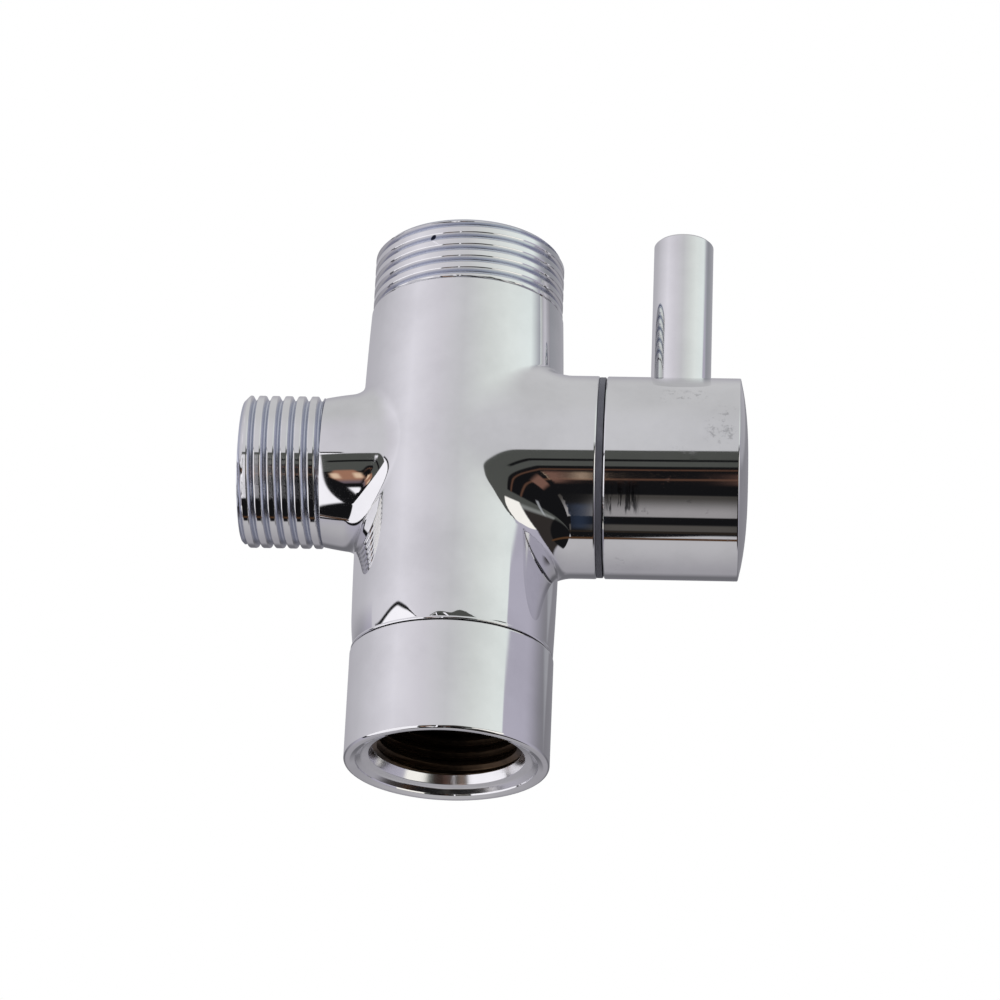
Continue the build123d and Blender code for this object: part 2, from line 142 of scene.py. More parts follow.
class ValveBodySizes(bpy.types.PropertyGroup):
    barrel_r: length("Barrel radius", "Radius of the barrel where it is widest", 13.95)
    barrel_top_r: length("Barrel top radius", "Radius of the barrel under the top thread", 13.35)
    barrel_bottom_r: length("Barrel foot radius", "Radius of the barrel above the collar", 13.6)
    barrel_widest_z: length("Barrel widest height", "Height of the widest place", -6.0)
    shoulder_z: length("Shoulder height", "Lower end of the barrel", -27.0)
    thread_start_z: length("Top thread start", "Height where the top thread begins", 23.7)
    neck_r: length("Neck radius", "Radius of the hose neck at its thread", 10.25)
    neck_root_r: length("Neck root radius", "Radius of the hose neck at the barrel", 10.95)
    neck_end_x: length("Neck end", "Place where the hose thread begins", -18.5)
    neck_fillet: length("Neck fillet", "Radius of the blend above and below the neck", 1.6)
    neck_front: length("Neck fillet in front", "Radius of the blend beside the neck", 4.0)
    port_r: length("Port radius", "Radius of the lever port", 13.9)
    port_end_x: length("Port end", "Outer end of the lever port", 18.95)
    port_fillet_top: length("Port fillet above", "Radius of the blend above the port", 0.7)
    port_fillet_bottom: length("Port fillet below", "Radius of the blend below the port", 1.25)
    port_front: length("Port fillet in front", "Radius of the blend beside the port", 13.0)
    roll_left_z: length("Roll-off left", "Height where the foot's roll-off starts on the left", -21.8)
    roll_middle_z: length("Roll-off middle", "Height where it starts in the middle", -25.5)
    roll_right_z: length("Roll-off right", "Height where it starts on the right", -26.4)
    roll_depth: length("Roll-off depth", "How far the roll-off takes the foot in on the left", 0.40)
    port_edge: length("Port edge", "Length of the softened edge at the port's end", 0.3)
    spigot_r: length("Spigot radius", "Radius of the spigot inside the collar", 9.9)
    spigot_end_z: length("Spigot end", "Lower end of the spigot", -31.0)
    cell: length("Skin cell", "Spacing of the points on the blended skin", 0.36)


class ValveThreadSizes(bpy.types.PropertyGroup):
    top_crest_r: length("Top thread radius", "Radius over the crests of the top thread", 13.2205)
    top_end_z: length("Top thread end", "Height of the top rim", 33.1)
    side_crest_r: length("Side thread radius", "Radius over the crests of the hose thread", 10.4775)
    side_end_x: length("Side thread end", "Place of the hose rim", -29.7)
    inlet_crest_r: length("Inlet thread radius", "Radius inside the crests of the inlet", 9.3155)
    depth: length("Thread depth", "Depth of the grooves", 0.66)
    pitch: length("Thread pitch", "Distance from one ridge to the next", 1.814)
    crest: length("Crest width", "Width of the flat on each ridge", 0.86)
    flank: length("Flank width", "Width of each slope beside the flat", 0.34)
    lead_in: length("Lead-in", "Length of the bevel at the open end", 0.74)


class ValveCollarSizes(bpy.types.PropertyGroup):
    outer_r: length("Collar radius", "Outer radius of the swivel collar", 13.72)
    top_z: length("Collar top", "Upper end of the collar", -27.2)
    rim_z: length("Collar rim", "Lower end of the collar", -42.5)
    rim_round: length("Rim rounding", "Radius of the outer lower edge", 0.85)
    land_r: length("Land radius", "Radius where the rim's flat ends", 12.9)
    lip_r: length("Lip radius", "Radius of the lip round the cup", 12.2)
    lip_rise: length("Lip rise", "Height of the lip over the rim", 0.24)
    lip_step: length("Lip step", "Height of the small step inside the lip", 0.2)
    cup_mid_r: length("Cup middle radius", "Radius where the cup curves over", 11.4)
    cup_mid_rise: length("Cup middle rise", "Height of that place over the rim", 1.0)
    cup_r: length("Cup radius", "Radius at the foot of the cup", 10.45)
    cup_rise: length("Cup rise", "Height of the cup's foot over the rim", 1.17)
    mouth_r: length("Mouth radius", "Radius of the thread's mouth", 10.02)
    mouth_rise: length("Mouth rise", "Height of the mouth over the rim", 2.38)
    relief_r: length("Relief radius", "Radius of the space for the washer", 10.6)
    thread_top_z: length("Thread top", "Upper end of the inlet thread", -33.01)


class ValveLeverSizes(bpy.types.PropertyGroup):
    knob_r: length("Knob radius", "Radius of the knob", 13.87)
    knob_start_x: length("Knob start", "Inner end of the knob", 20.0)
    knob_face_x: length("Knob face", "Place where the knob's dome begins", 38.2)
    dome: length("Dome height", "Height of the knob's domed end", 1.2)
    inner_edge: length("Inner edge", "Bevel at the knob's inner end", 0.15)
    face_edge: length("Face edge", "Rounding between the knob's wall and its dome", 0.22)
    stick_r: length("Stick radius", "Radius of the lever stick", 4.15)
    stick_x: length("Stick place", "Place of the stick along the lever axis", 29.92)
    stick_top_z: length("Stick top", "Upper end of the stick", 36.0)
    stick_base_z: length("Stick base", "Lower end of the stick's shank", 13.12)
    stick_edge: length("Stick edge", "Bevel of the stick's end", 0.35)
    ring_r: length("Spacer radius", "Radius of the grey spacer ring", 13.75)


class ValveColours(bpy.types.PropertyGroup):
    chrome: colour("Chrome", "Tint of the plating", (0.80, 0.80, 0.81))
    brass: colour("Raw brass", "Colour of the unplated brass", (0.36, 0.25, 0.13))
    brass_dark: colour("Brass in the grooves", "Colour of stained brass", (0.10, 0.065, 0.04))
    spacer: colour("Spacer ring", "Colour of the grey plastic ring", (0.115, 0.118, 0.145))
    rubber: colour("Seals", "Colour of the rubber", (0.012, 0.012, 0.013))
    seat: colour("Seats", "Colour of the slippery plastic", (0.78, 0.76, 0.71))
    steel: colour("Spring steel", "Colour of the wire ring and the pin", (0.52, 0.52, 0.53))
    floor: colour("Floor", "Colour of the plain floor", (0.90, 0.90, 0.90))


class ValveStage(bpy.types.PropertyGroup):
    distance: bpy.props.FloatProperty(
        name="Camera distance", description="From the camera to its aim", default=0.546841, unit="LENGTH"
    )
    azimuth: angle("Camera azimuth", "Turn of the camera to the right", 3.582)
    elevation: angle("Camera elevation", "Below the horizon where negative", -24.561)
    roll: angle("Camera roll", "Tilt of the picture", 2.498)
    aim: bpy.props.FloatVectorProperty(
        name="Camera aim",
        description="Point that the camera looks at",
        default=(0.005596, 0.0, AXIS_Z - 0.003617),
        size=3,
        subtype="TRANSLATION",
        unit="LENGTH",
    )
    lens: bpy.props.FloatProperty(
        name="Lens", description="Focal length for a 36 mm sensor", default=144.0, unit="CAMERA"
    )


# Node expressions
class Wire:
    """A socket that takes part in sums, so that an expression on values adds its Math nodes."""

    def __init__(self, graph, socket):
        self.graph = graph
        self.socket = socket

    def math(self, operation, *values):
        return self.graph.node("ShaderNodeMath", {"operation": operation}, dict(enumerate(values)))

    def __neg__(self):
        return self.math("MULTIPLY", self, -1.0)

    def __rsub__(self, other):
        return self.math("SUBTRACT", other, self)

    def step(self, low, high):
        """Smooth 0 to 1 as the value goes from low to high."""
        values = {"Value": self, "From Min": low, "From Max": high}
        return self.graph.node("ShaderNodeMapRange", {"interpolation_type": "SMOOTHSTEP"}, values)


def math_method(operation):
    """A method of Wire that adds one Math node."""
    return lambda wire, *others: wire.math(operation, wire, *others)


WIRE_METHODS = {
    "__add__": "ADD",
    "__radd__": "ADD",
    "__sub__": "SUBTRACT",
    "__mul__": "MULTIPLY",
    "__rmul__": "MULTIPLY",
    "__truediv__": "DIVIDE",
    "__pow__": "POWER",
    "__lt__": "LESS_THAN",
    "least": "MINIMUM",
    "most": "MAXIMUM",
    "absolute": "ABSOLUTE",
    "fraction": "FRACT",
    "whole": "CEIL",
    "sine": "SINE",
    "cosine": "COSINE",
}
for method_name, math_operation in WIRE_METHODS.items():
    setattr(Wire, method_name, math_method(math_operation))


class Graph:
    """Adds nodes to one tree: a node's type, its settings, then its inputs by name or number."""

    def __init__(self, tree):
        self.tree = tree

    def node(self, kind, settings=None, values=None, output=0):
        made = self.tree.nodes.new(kind)
        for key, setting in (settings or {}).items():
            if key == "stops":
                self.set_stops(made.color_ramp, setting)
            else:
                setattr(made, key, setting)
        for key, value in (values or {}).items():
            socket = made.inputs[key]
            if isinstance(value, Wire):
                self.tree.links.new(value.socket, socket)
            elif isinstance(value, tuple) and len(value) == 3 and len(socket.default_value) == 4:
                socket.default_value = (*value, 1.0)
            else:
                socket.default_value = value
        return Wire(self, made.outputs[output])

    def set_stops(self, ramp, stops):
        while len(ramp.elements) > 1:
            ramp.elements.remove(ramp.elements[-1])
        ramp.elements[0].position = stops[0][0]
        ramp.elements[0].color = (*stops[0][1], 1.0)
        for place, tint in stops[1:]:
            element = ramp.elements.new(place)
            element.color = (*tint, 1.0)

    def mix(self, mask, below, above):
        """Colour below where the mask is 0 and above where it is 1."""
        values = {0: mask, 6: below, 7: above}
        return self.node("ShaderNodeMix", {"data_type": "RGBA"}, values, output=2)

    def split(self, place):
        """The three coordinates of a vector."""
        first = self.node("ShaderNodeSeparateXYZ", None, {0: place})
        return [Wire(self, socket) for socket in first.socket.node.outputs]

    def noise(self, place, scale, detail=2.0, roughness=0.5):
        values = {"Vector": place, "Scale": scale, "Detail": detail, "Roughness": roughness}
        return self.node("ShaderNodeTexNoise", {"noise_dimensions": "3D"}, values)

    def finish(self, kind, slot, value):
        """Joins a wire to an input of the tree's output node."""
        output = self.tree.nodes.new(kind)
        self.tree.links.new(value.socket, output.inputs[slot])


def band(value, low, high, soft=1.0):
    """1 between two values and 0 outside them, with soft edges."""
    return value.step(low - soft, low + soft) * (1.0 - value.step(high - soft, high + soft))


def under(value, edge, low=-0.6, high=0.6):
    """1 where a value lies under an edge and 0 over it, smooth between two distances from the edge."""
    return 1.0 - (value - edge).step(low, high)


def new_material(name):
    """An empty node material and its graph."""
    material = bpy.data.materials.new(name)
    material.use_nodes = True
    material.node_tree.nodes.clear()
    return material, Graph(material.node_tree)


# Finishes
# Painted shade in the thread grooves, as a darker blue-grey
GROOVE_PAINTED_SHADE = (0.50, 0.53, 0.63)
STROKE_TINT = (0.10, 0.10, 0.11)
NICK_PAINTED_SHADE = (0.02, 0.022, 0.04)
NICK_PAINTED_HIGHLIGHT = (0.95, 0.95, 0.97)
# Painted shade: the inlet's brass and its stains, much darker than the raw brass, for the shade inside
# the collar's bore
INLET_BRASS_SHADED = (0.10, 0.066, 0.040)
INLET_STAIN_AND_SHADE = (0.022, 0.016, 0.012)


def axes(g, place):
    """The three coordinates of a place, in millimetres from the crossing."""
    x, y, z = g.split(place)
    return x / MM, y / MM, (z - AXIS_Z) / MM


def hollow(along, start, radius, crest_r):
    """1 in the grooves of a thread that begins at a place along its axis, and 0 elsewhere."""
    over_bottom = radius.step(crest_r - 1.8, crest_r - 1.4)
    under_crest = 1.0 - radius.step(crest_r - 0.52, crest_r - 0.16)
    return along.step(start, start + 0.1) * (over_bottom * under_crest)


def grooves(g, place, body, threads):
    """1 in the grooves of both male threads, where the plating is thin and dull and where shade is
    painted in.
    """
    x, y, z = axes(g, place)
    s, t = in_mm(body), in_mm(threads)
    top = hollow(z, s["thread_start_z"], (x * x + y * y) ** 0.5, t["top_crest_r"])
    side = hollow(-x, -s["neck_end_x"], (y * y + z * z) ** 0.5, t["side_crest_r"])
    return top.most(side)


def streaks(g, place):
    """Handling streaks on the knob: short dark strokes near its inner end and faint dabs above."""
    x, y, z = axes(g, place)
    stretched = g.node("ShaderNodeMapping", None, {"Vector": place, "Scale": (1.0, 0.12, 0.12)})
    strokes = g.noise(stretched, 1500.0, 3.0, 0.7).step(0.47, 0.60)
    low = band(x, 20.6, 24.6, 0.5) * band(z, -9.6, -6.2, 0.5) * (y < 0.0)
    dabs = g.noise(place, 900.0, 3.0, 0.7).step(0.52, 0.68)
    upper = band(x, 27.5, 33.5, 0.8) * band(z, 5.6, 7.8, 0.5)
    right = band(x, 33.8, 37.6, 0.8) * band(z, -1.0, 4.6, 1.0)
    return (strokes * low * 0.9).most(dabs * upper.most(right) * (y < 0.0) * 0.35)


def oval(x, z, middle, lean, half_sizes):
    """1 inside a leaning oval and 0 outside it."""
    across = (x - middle[0]) * lean[0] + (z - middle[1]) * lean[1]
    along = (z - middle[1]) * lean[0] - (x - middle[0]) * lean[1]
    reach = (across / half_sizes[0]) ** 2.0 + (along / half_sizes[1]) ** 2.0
    return 1.0 - reach.step(0.6, 1.2)


def nick(g, place):
    """The dent in a ridge of the top thread, as masks: painted shade in its hollow, and a painted
    highlight on its raised lip.
    """
    x, y, z = axes(g, place)
    front = y < 0.0
    return oval(x, z, *NICK_HOLLOW) * front, oval(x, z, *NICK_LIP) * front


def surface(material, g, base, metal, rough, bump):
    """Ends a finish with its shader, and returns the material."""
    values = {"Base Color": base, "Metallic": metal, "Roughness": rough, "Normal": bump}
    shade = g.node("ShaderNodeBsdfPrincipled", None, values)
    g.finish("ShaderNodeOutputMaterial", "Surface", shade)
    return material


def chrome_finish(name, tint, smudge=0.0, dull_and_shaded=None, marks_of=None, satin=0.0, painted_nick=False):
    """Bright plating: a slightly uneven mirror with faint haze, handling marks and hairlines."""
    material, g = new_material(name)
    place = g.node("ShaderNodeTexCoord", output=3)
    haze = g.noise(place, 90.0, 4.0, 0.6)
    cloud = g.noise(place, 260.0, 5.0, 0.65)
    marks = g.noise(place, 420.0, 3.0, 0.7).step(0.60, 0.74) * g.noise(place, 110.0).step(0.50, 0.66)
    base = g.mix(haze.step(0.35, 0.75), tint, tuple(c * 0.90 for c in tint))
    if smudge:
        base = g.mix(marks * smudge, base, tuple(c * 0.62 for c in tint))
    rough = 0.035 + satin + haze.step(0.4, 0.8) * 0.02 + marks * (0.05 + 0.12 * smudge)
    rough = rough + cloud.step(0.5, 0.8) * 0.015
    if dull_and_shaded:
        in_groove = dull_and_shaded(g, place)
        # Painted shade: the grooves get a darker blue-grey colour, and more roughness for their duller
        # plating
        base = g.mix(in_groove * 0.8, base, GROOVE_PAINTED_SHADE)
        rough = rough + in_groove * 0.20
    if marks_of:
        stroke = marks_of(g, place)
        base = g.mix(stroke, base, STROKE_TINT)
        rough = rough + stroke * 0.08
    if painted_nick:
        # Painted shade in the nick's hollow, and a painted highlight on its lip, which is also made
        # rougher
        dark, lip = nick(g, place)
        base = g.mix(lip, g.mix(dark, base, NICK_PAINTED_SHADE), NICK_PAINTED_HIGHLIGHT)
        rough = rough + lip * 0.3
    swell = g.noise(place, 55.0, 1.0, 0.3)
    bump = g.node("ShaderNodeBump", None, {"Strength": 0.012, "Distance": 0.001, "Height": swell})
    return surface(material, g, base, 1.0, rough, bump)


def brass_finish(name, tint, stain):
    """Unplated machined brass: tool lines, stains in the hollows and a dull sheen."""
    material, g = new_material(name)
    place = g.node("ShaderNodeTexCoord", output=3)
    stretched = g.node("ShaderNodeMapping", None, {"Vector": place, "Scale": (1.0, 1.0, 14.0)})
    lines = g.noise(stretched, 240.0, 3.0, 0.6)
    blots = g.noise(place, 170.0, 4.0, 0.6)
    base = g.mix(blots.step(0.38, 0.68), tint, stain)
    rough = 0.26 + lines * 0.14 + blots.step(0.4, 0.7) * 0.16
    bump = g.node("ShaderNodeBump", None, {"Strength": 0.25, "Distance": 0.0001, "Height": lines})
    return surface(material, g, base, 1.0, rough, bump)


def soft_finish(name, tint, sheen, grain, metal=0.0):
    """Moulded rubber or plastic, or drawn wire, with a fine grain and a little dust."""
    material, g = new_material(name)
    place = g.node("ShaderNodeTexCoord", output=3)
    speck = g.noise(place, 1400.0, 3.0, 0.6)
    dust = g.noise(place, 240.0, 4.0, 0.6)
    lighter = tuple(min(1.0, c * 1.35 + 0.008) for c in tint)
    base = g.mix(dust.step(0.45, 0.75), tint, lighter)
    rough = sheen + dust * 0.12
    bump = g.node("ShaderNodeBump", None, {"Strength": grain, "Distance": 0.00005, "Height": speck})
    return surface(material, g, base, metal, rough, bump)


# Meshes
def ring(bm, axis, place, radius):
    """A ring of vertices round X or Z, in order of their angle, in millimetres from the crossing."""
    made = []
    for step in range(ROUND):
        turn = 2 * math.pi * step / ROUND
        a, b = radius * math.cos(turn), radius * math.sin(turn)
        made.append(bm.verts.new((place, a, b) if axis == "X" else (a, b, place)))
    return made


def angle_of(vertex, axis):
    """Angle of a vertex round X or Z."""
    x, y, z = vertex.co
    return math.atan2(z, y) if axis == "X" else math.atan2(y, x)


def join_rings(bm, first, second, axis):
    """Joins two rings of any number of vertices with a band of faces."""
    a = sorted(first, key=lambda v: angle_of(v, axis))
    b = sorted(second, key=lambda v: angle_of(v, axis))
    if len(a) == len(b) and abs(angle_of(a[0], axis) - angle_of(b[0], axis)) < 1e-4:
        for i in range(len(a)):
            bm.faces.new((a[i - 1], a[i], b[i], b[i - 1]))
        return
    i = j = 0
    while i < len(a) or j < len(b):
        next_a = angle_of(a[i + 1], axis) if i + 1 < len(a) else angle_of(a[0], axis) + 2 * math.pi
        next_b = angle_of(b[j + 1], axis) if j + 1 < len(b) else angle_of(b[0], axis) + 2 * math.pi
        if j >= len(b) or (i < len(a) and next_a <= next_b):
            bm.faces.new((a[i % len(a)], a[(i + 1) % len(a)], b[j % len(b)]))
            i += 1
        else:
            bm.faces.new((a[i % len(a)], b[(j + 1) % len(b)], b[j % len(b)]))
            j += 1


def lathe(bm, profile, axis):
    """Turns (place along the axis, radius) pairs into bands, and returns the first and last rings."""
    rings = [ring(bm, axis, place, radius) for place, radius in profile]
    for one, other in zip(rings, rings[1:]):
        for i in range(ROUND):
            bm.faces.new((one[i - 1], one[i], other[i], other[i - 1]))
    return rings[0], rings[-1]


def close_end(bm, last, axis, place):
    """Closes a ring with a fan to a point on the axis."""
    tip = bm.verts.new((place, 0, 0) if axis == "X" else (0, 0, place))
    for i in range(len(last)):
        bm.faces.new((last[i - 1], last[i], tip))


def rounded(corners, steps=6, support=0.05):
    """A profile from (place, radius, rounding) corners, with arcs and a support point beside each."""
    out = [corners[0][:2]]
    for before, here, after in zip(corners, corners[1:], corners[2:]):
        p = np.array(here[:2], float)
        u = np.array(before[:2], float) - p
        v = np.array(after[:2], float) - p
        lu, lv = np.linalg.norm(u), np.linalg.norm(v)
        u, v = u / lu, v / lv
        r = here[2]
        half = math.acos(max(-1.0, min(1.0, float(u @ v)))) / 2
        if r <= 0 or half > STRAIGHT:
            out.append(tuple(p))
            continue
        cut = min(r / math.tan(half), lu * 0.49, lv * 0.49)
        r = cut * math.tan(half)
        bisector = (u + v) / np.linalg.norm(u + v)
        centre = p + bisector * r / math.sin(half)
        a, b = p + u * cut - centre, p + v * cut - centre
        sweep = math.pi - 2 * half
        extra = min(support, lu * 0.1)
        out.append(tuple(p + u * (cut + extra)))
        for k in range(steps + 1):
            t = k / steps
            w = (math.sin((1 - t) * sweep) * a + math.sin(t * sweep) * b) / math.sin(sweep)
            out.append(tuple(centre + w))
        out.append(tuple(p + v * (cut + min(support, lv * 0.1))))
    out.append(corners[-1][:2])
    return out


def mesh_object(name, bm, sharp=SHARP):
    """A smooth-shaded object in metres from a bmesh in millimetres from the crossing."""
    bmesh.ops.recalc_face_normals(bm, faces=bm.faces)
    mesh = bpy.data.meshes.new(name)
    bm.to_mesh(mesh)
    bm.free()
    mesh.transform(FROM_CROSSING)
    mesh.shade_smooth()
    mesh.set_sharp_from_angle(angle=math.radians(sharp))
    made = bpy.data.objects.new(name, mesh)
    bpy.context.scene.collection.objects.link(made)
    return made


def paint(made, *materials):
    """Gives an object its material slots."""
    made.data.materials.clear()
    for material in materials:
        made.data.materials.append(material)


# Threads
THREAD_INPUTS = (
    "Crest Radius", "Near Radius", "End Radius", "Side", "Length", "Depth", "Pitch", "Crest", "Flank"
)


def thread_tree(material):
    """A right-hand helical thread along +Z: the grid's rows follow the helix, so ridges stay crisp."""
    tree = bpy.data.node_groups.new("pipe_thread", "GeometryNodeTree")
    for name in THREAD_INPUTS:
        tree.interface.new_socket(name=name, in_out="INPUT", socket_type="NodeSocketFloat")
    tree.interface.new_socket(name="Geometry", in_out="OUTPUT", socket_type="NodeSocketGeometry")
    g = Graph(tree)
    group = tree.nodes.new("NodeGroupInput")
    size = {name: Wire(g, group.outputs[name]) for name in THREAD_INPUTS}
    turns = (size["Length"] / size["Pitch"]).whole() + 1.0
    rows = g.node("FunctionNodeFloatToInt", {"rounding_mode": "ROUND"}, {0: turns * THREAD_ROWS + 1.0})
    sheet = {"Size X": 1.0, "Size Y": turns, "Vertices X": ROUND + 1, "Vertices Y": rows}
    grid = g.node("GeometryNodeMeshGrid", None, sheet)
    x, y, _ = g.split(g.node("GeometryNodeInputPosition"))
    across = x + 0.5
    along = y + turns * 0.5
    height = (size["Pitch"] * (along + across - 1.0)).most(0.0).least(size["Length"])
    phase = (height / size["Pitch"] - across + 1.0).fraction()
    from_crest = (phase - 0.5).absolute() * size["Pitch"]
    groove = ((from_crest - size["Crest"] * 0.5) / size["Flank"]).most(0.0).least(1.0)
    from_end = (size["End Radius"] - size["Crest Radius"]).absolute() - (size["Length"] - height)
    from_near = (size["Near Radius"] - size["Crest Radius"]).absolute() - height * 2.0
    sunk = (groove * size["Depth"]).most(from_end).most(from_near)
    radius = size["Crest Radius"] - size["Side"] * sunk
    turn = across * (2 * math.pi)
    round_axis = {0: radius * turn.cosine(), 1: radius * turn.sine(), 2: height}
    bent = g.node("ShaderNodeCombineXYZ", None, round_axis)
    wound = g.node("GeometryNodeSetPosition", None, {"Geometry": grid, "Position": bent})
    merged = g.node("GeometryNodeMergeByDistance", None, {"Geometry": wound, "Distance": 2e-7})
    real = g.node("GeometryNodeRealizeInstances", None, {"Geometry": merged})
    dressed = g.node("GeometryNodeSetMaterial", None, {"Geometry": real, "Material": material})
    g.finish("NodeGroupOutput", 0, dressed)
    return tree


def thread_values(t, crest_r, near_r, end_r, run, side=1.0, crest=1.0, flank=1.0):
    """Inputs of the thread tree in millimetres. Side is 1 outside and -1 inside a pipe."""
    sizes = (
        crest_r, near_r, end_r, side, run, t["depth"], t["pitch"], t["crest"] * crest, t["flank"] * flank
    )
    return dict(zip(THREAD_INPUTS, sizes))


def wound_thread(tree, values):
    """The plain mesh that the thread tree makes for these sizes in millimetres."""
    holder = bpy.data.objects.new("thread_maker", bpy.data.meshes.new("thread_maker"))
    bpy.context.scene.collection.objects.link(holder)
    modifier = holder.modifiers.new("thread", "NODES")
    modifier.node_group = tree
    for item in tree.interface.items_tree:
        if item.in_out == "INPUT" and item.name in values:
            scale = 1.0 if item.name == "Side" else MM
            modifier[item.identifier] = float(values[item.name] * scale)
    bpy.context.view_layer.update()
    graph = bpy.context.evaluated_depsgraph_get()
    mesh = bpy.data.meshes.new_from_object(holder.evaluated_get(graph))
    holder.modifiers.remove(modifier)
    bpy.data.objects.remove(holder)
    return mesh


def add_thread(bm, mesh, placing, start_step=0):
    """Adds a thread, turned by some of the points round it, and returns its near and far rings."""
    mesh.transform(Matrix.Rotation(2 * math.pi * start_step / ROUND, 4, "Z"))
    mesh.transform(Matrix.Scale(1 / MM, 4))
    far = max(v.co.z for v in mesh.vertices)
    before = set(bm.verts)
    bm.from_mesh(mesh)
    added = [v for v in bm.verts if v not in before]
    near_ring = [v for v in added if abs(v.co.z) < ON_END]
    far_ring = [v for v in added if abs(v.co.z - far) < ON_END]
    bmesh.ops.transform(bm, matrix=placing, verts=added)
    bpy.data.meshes.remove(mesh)
    return near_ring, far_ring


# Blended skin of the casting
def ramp(value, low, high):
    """Smooth 0 to 1 as the value goes from low to high."""
    share = np.clip((value - low) / (high - low), 0, 1)
    return share * share * (3 - 2 * share)


class Skin:
    """The casting's outside as a field: negative inside, with rolling-ball blends where tubes meet."""

    def __init__(self, sizes):
        s = in_mm(sizes)
        self.s = s
        ends = [
            (s["barrel_bottom_r"], s["shoulder_z"]),
            (s["barrel_r"], s["barrel_widest_z"]),
            (s["barrel_top_r"], s["thread_start_z"]),
        ]
        rows = [[2 * r, 2 * z, 1.0] for r, z in ends]
        squares = [r * r + z * z for r, z in ends]
        mid_r, mid_z, rest = np.linalg.solve(np.array(rows), np.array(squares))
        self.arc = (mid_r, mid_z, math.sqrt(rest + mid_r**2 + mid_z**2))

    def barrel_radius(self, z):
        mid_r, mid_z, bend = self.arc
        return mid_r + np.sqrt(bend**2 - (z - mid_z) ** 2)

    def roll_off(self, x, z):
        """How far polishing has rounded the foot: most at its left and less to the right."""
        s = self.s
        left = 1 - ramp(x, -6.6, -3.4)
        middle = ramp(x, -3.0, -1.0) * (1 - ramp(x, 1.6, 4.4))
        fuller = 1.5 * middle * (1 - 0.85 * ramp(x, -0.8, 1.4))
        start = s["roll_right_z"] + (s["roll_left_z"] - s["roll_right_z"]) * left
        start = start + (s["roll_middle_z"] - s["roll_right_z"]) * middle
        run = s["shoulder_z"] - start
        share = np.clip((z - start) / run, 0, 1.2)
        depth = s["roll_depth"] * (run / (s["shoulder_z"] - s["roll_left_z"]))
        return depth * share**2 * (1 + fuller)

    def neck_radius(self, x):
        s = self.s
        run = -2 * (s["barrel_r"] + s["neck_end_x"])
        t = np.clip((x - s["neck_end_x"]) / run, -0.5, 1.0)
        return s["neck_r"] + (s["neck_root_r"] - s["neck_r"]) / 0.75 * t * (2 - t)

    def blend(self, a, na, b, nb, radius):
        """Union of two fields with a fillet of this radius, true at any angle between them."""
        dot = np.clip((na * nb).sum(-1), -0.9995, 0.9995)
        p, q = radius - a, radius - b
        inside = (p > dot * q) & (q > dot * p)
        reach = np.sqrt(np.maximum((p * p + q * q - 2 * dot * p * q) / (1 - dot * dot), 0))
        return np.where(inside, radius - reach, np.minimum(a, b))

    def field(self, p):
        s = self.s
        x, y, z = p[..., 0], p[..., 1], p[..., 2]
        round_z = np.maximum(np.hypot(x, y), 1e-6)
        round_x = np.maximum(np.hypot(y, z), 1e-6)
        barrel = round_z - self.barrel_radius(z) + self.roll_off(x, z)
        n_barrel = np.stack([x / round_z, y / round_z, np.zeros_like(z)], -1)
        n_tube = np.stack([np.zeros_like(x), y / round_x, z / round_x], -1)
        neck = round_x - self.neck_radius(x)
        port = round_x - s["port_r"]
        share = np.clip(0.5 + 0.5 * z / s["port_r"], 0, 1)
        port_fillet = s["port_fillet_bottom"] + (s["port_fillet_top"] - s["port_fillet_bottom"]) * share
        in_front = np.clip(1 - (z / s["port_r"]) ** 2, 0, 1)
        port_fillet = port_fillet + (s["port_front"] - port_fillet) * in_front
        in_front = np.clip(1 - (z / s["neck_root_r"]) ** 2, 0, 1)
        neck_fillet = s["neck_fillet"] + (s["neck_front"] - s["neck_fillet"]) * in_front
        left = self.blend(barrel, n_barrel, neck, n_tube, neck_fillet)
        right = self.blend(barrel, n_barrel, port, n_tube, port_fillet)
        return np.where(x < 0, left, right)

    def slope(self, p, h=2e-3):
        columns = []
        for axis in range(3):
            shift = np.zeros(3)
            shift[axis] = h
            columns.append((self.field(p + shift) - self.field(p - shift)) / (2 * h))
        return np.stack(columns, -1)

    def settle(self, p, held=None, rounds=4):
        """Moves points on to the surface, along all axes but the held one."""
        for _ in range(rounds):
            g = self.slope(p)
            if held is not None:
                g[:, held] = 0
            p = p - g * (self.field(p) / np.maximum((g * g).sum(-1), 1e-9))[:, None]
        return p

    def trims(self):
        """The four planes where turned ends take over: axis, place and side."""
        s = self.s
        return (
            (2, s["thread_start_z"] - 0.3, 1),
            (2, s["shoulder_z"] + 0.4, -1),
            (0, s["neck_end_x"] + 0.3, -1),
            (0, s["port_end_x"] - s["port_edge"], 1),
        )


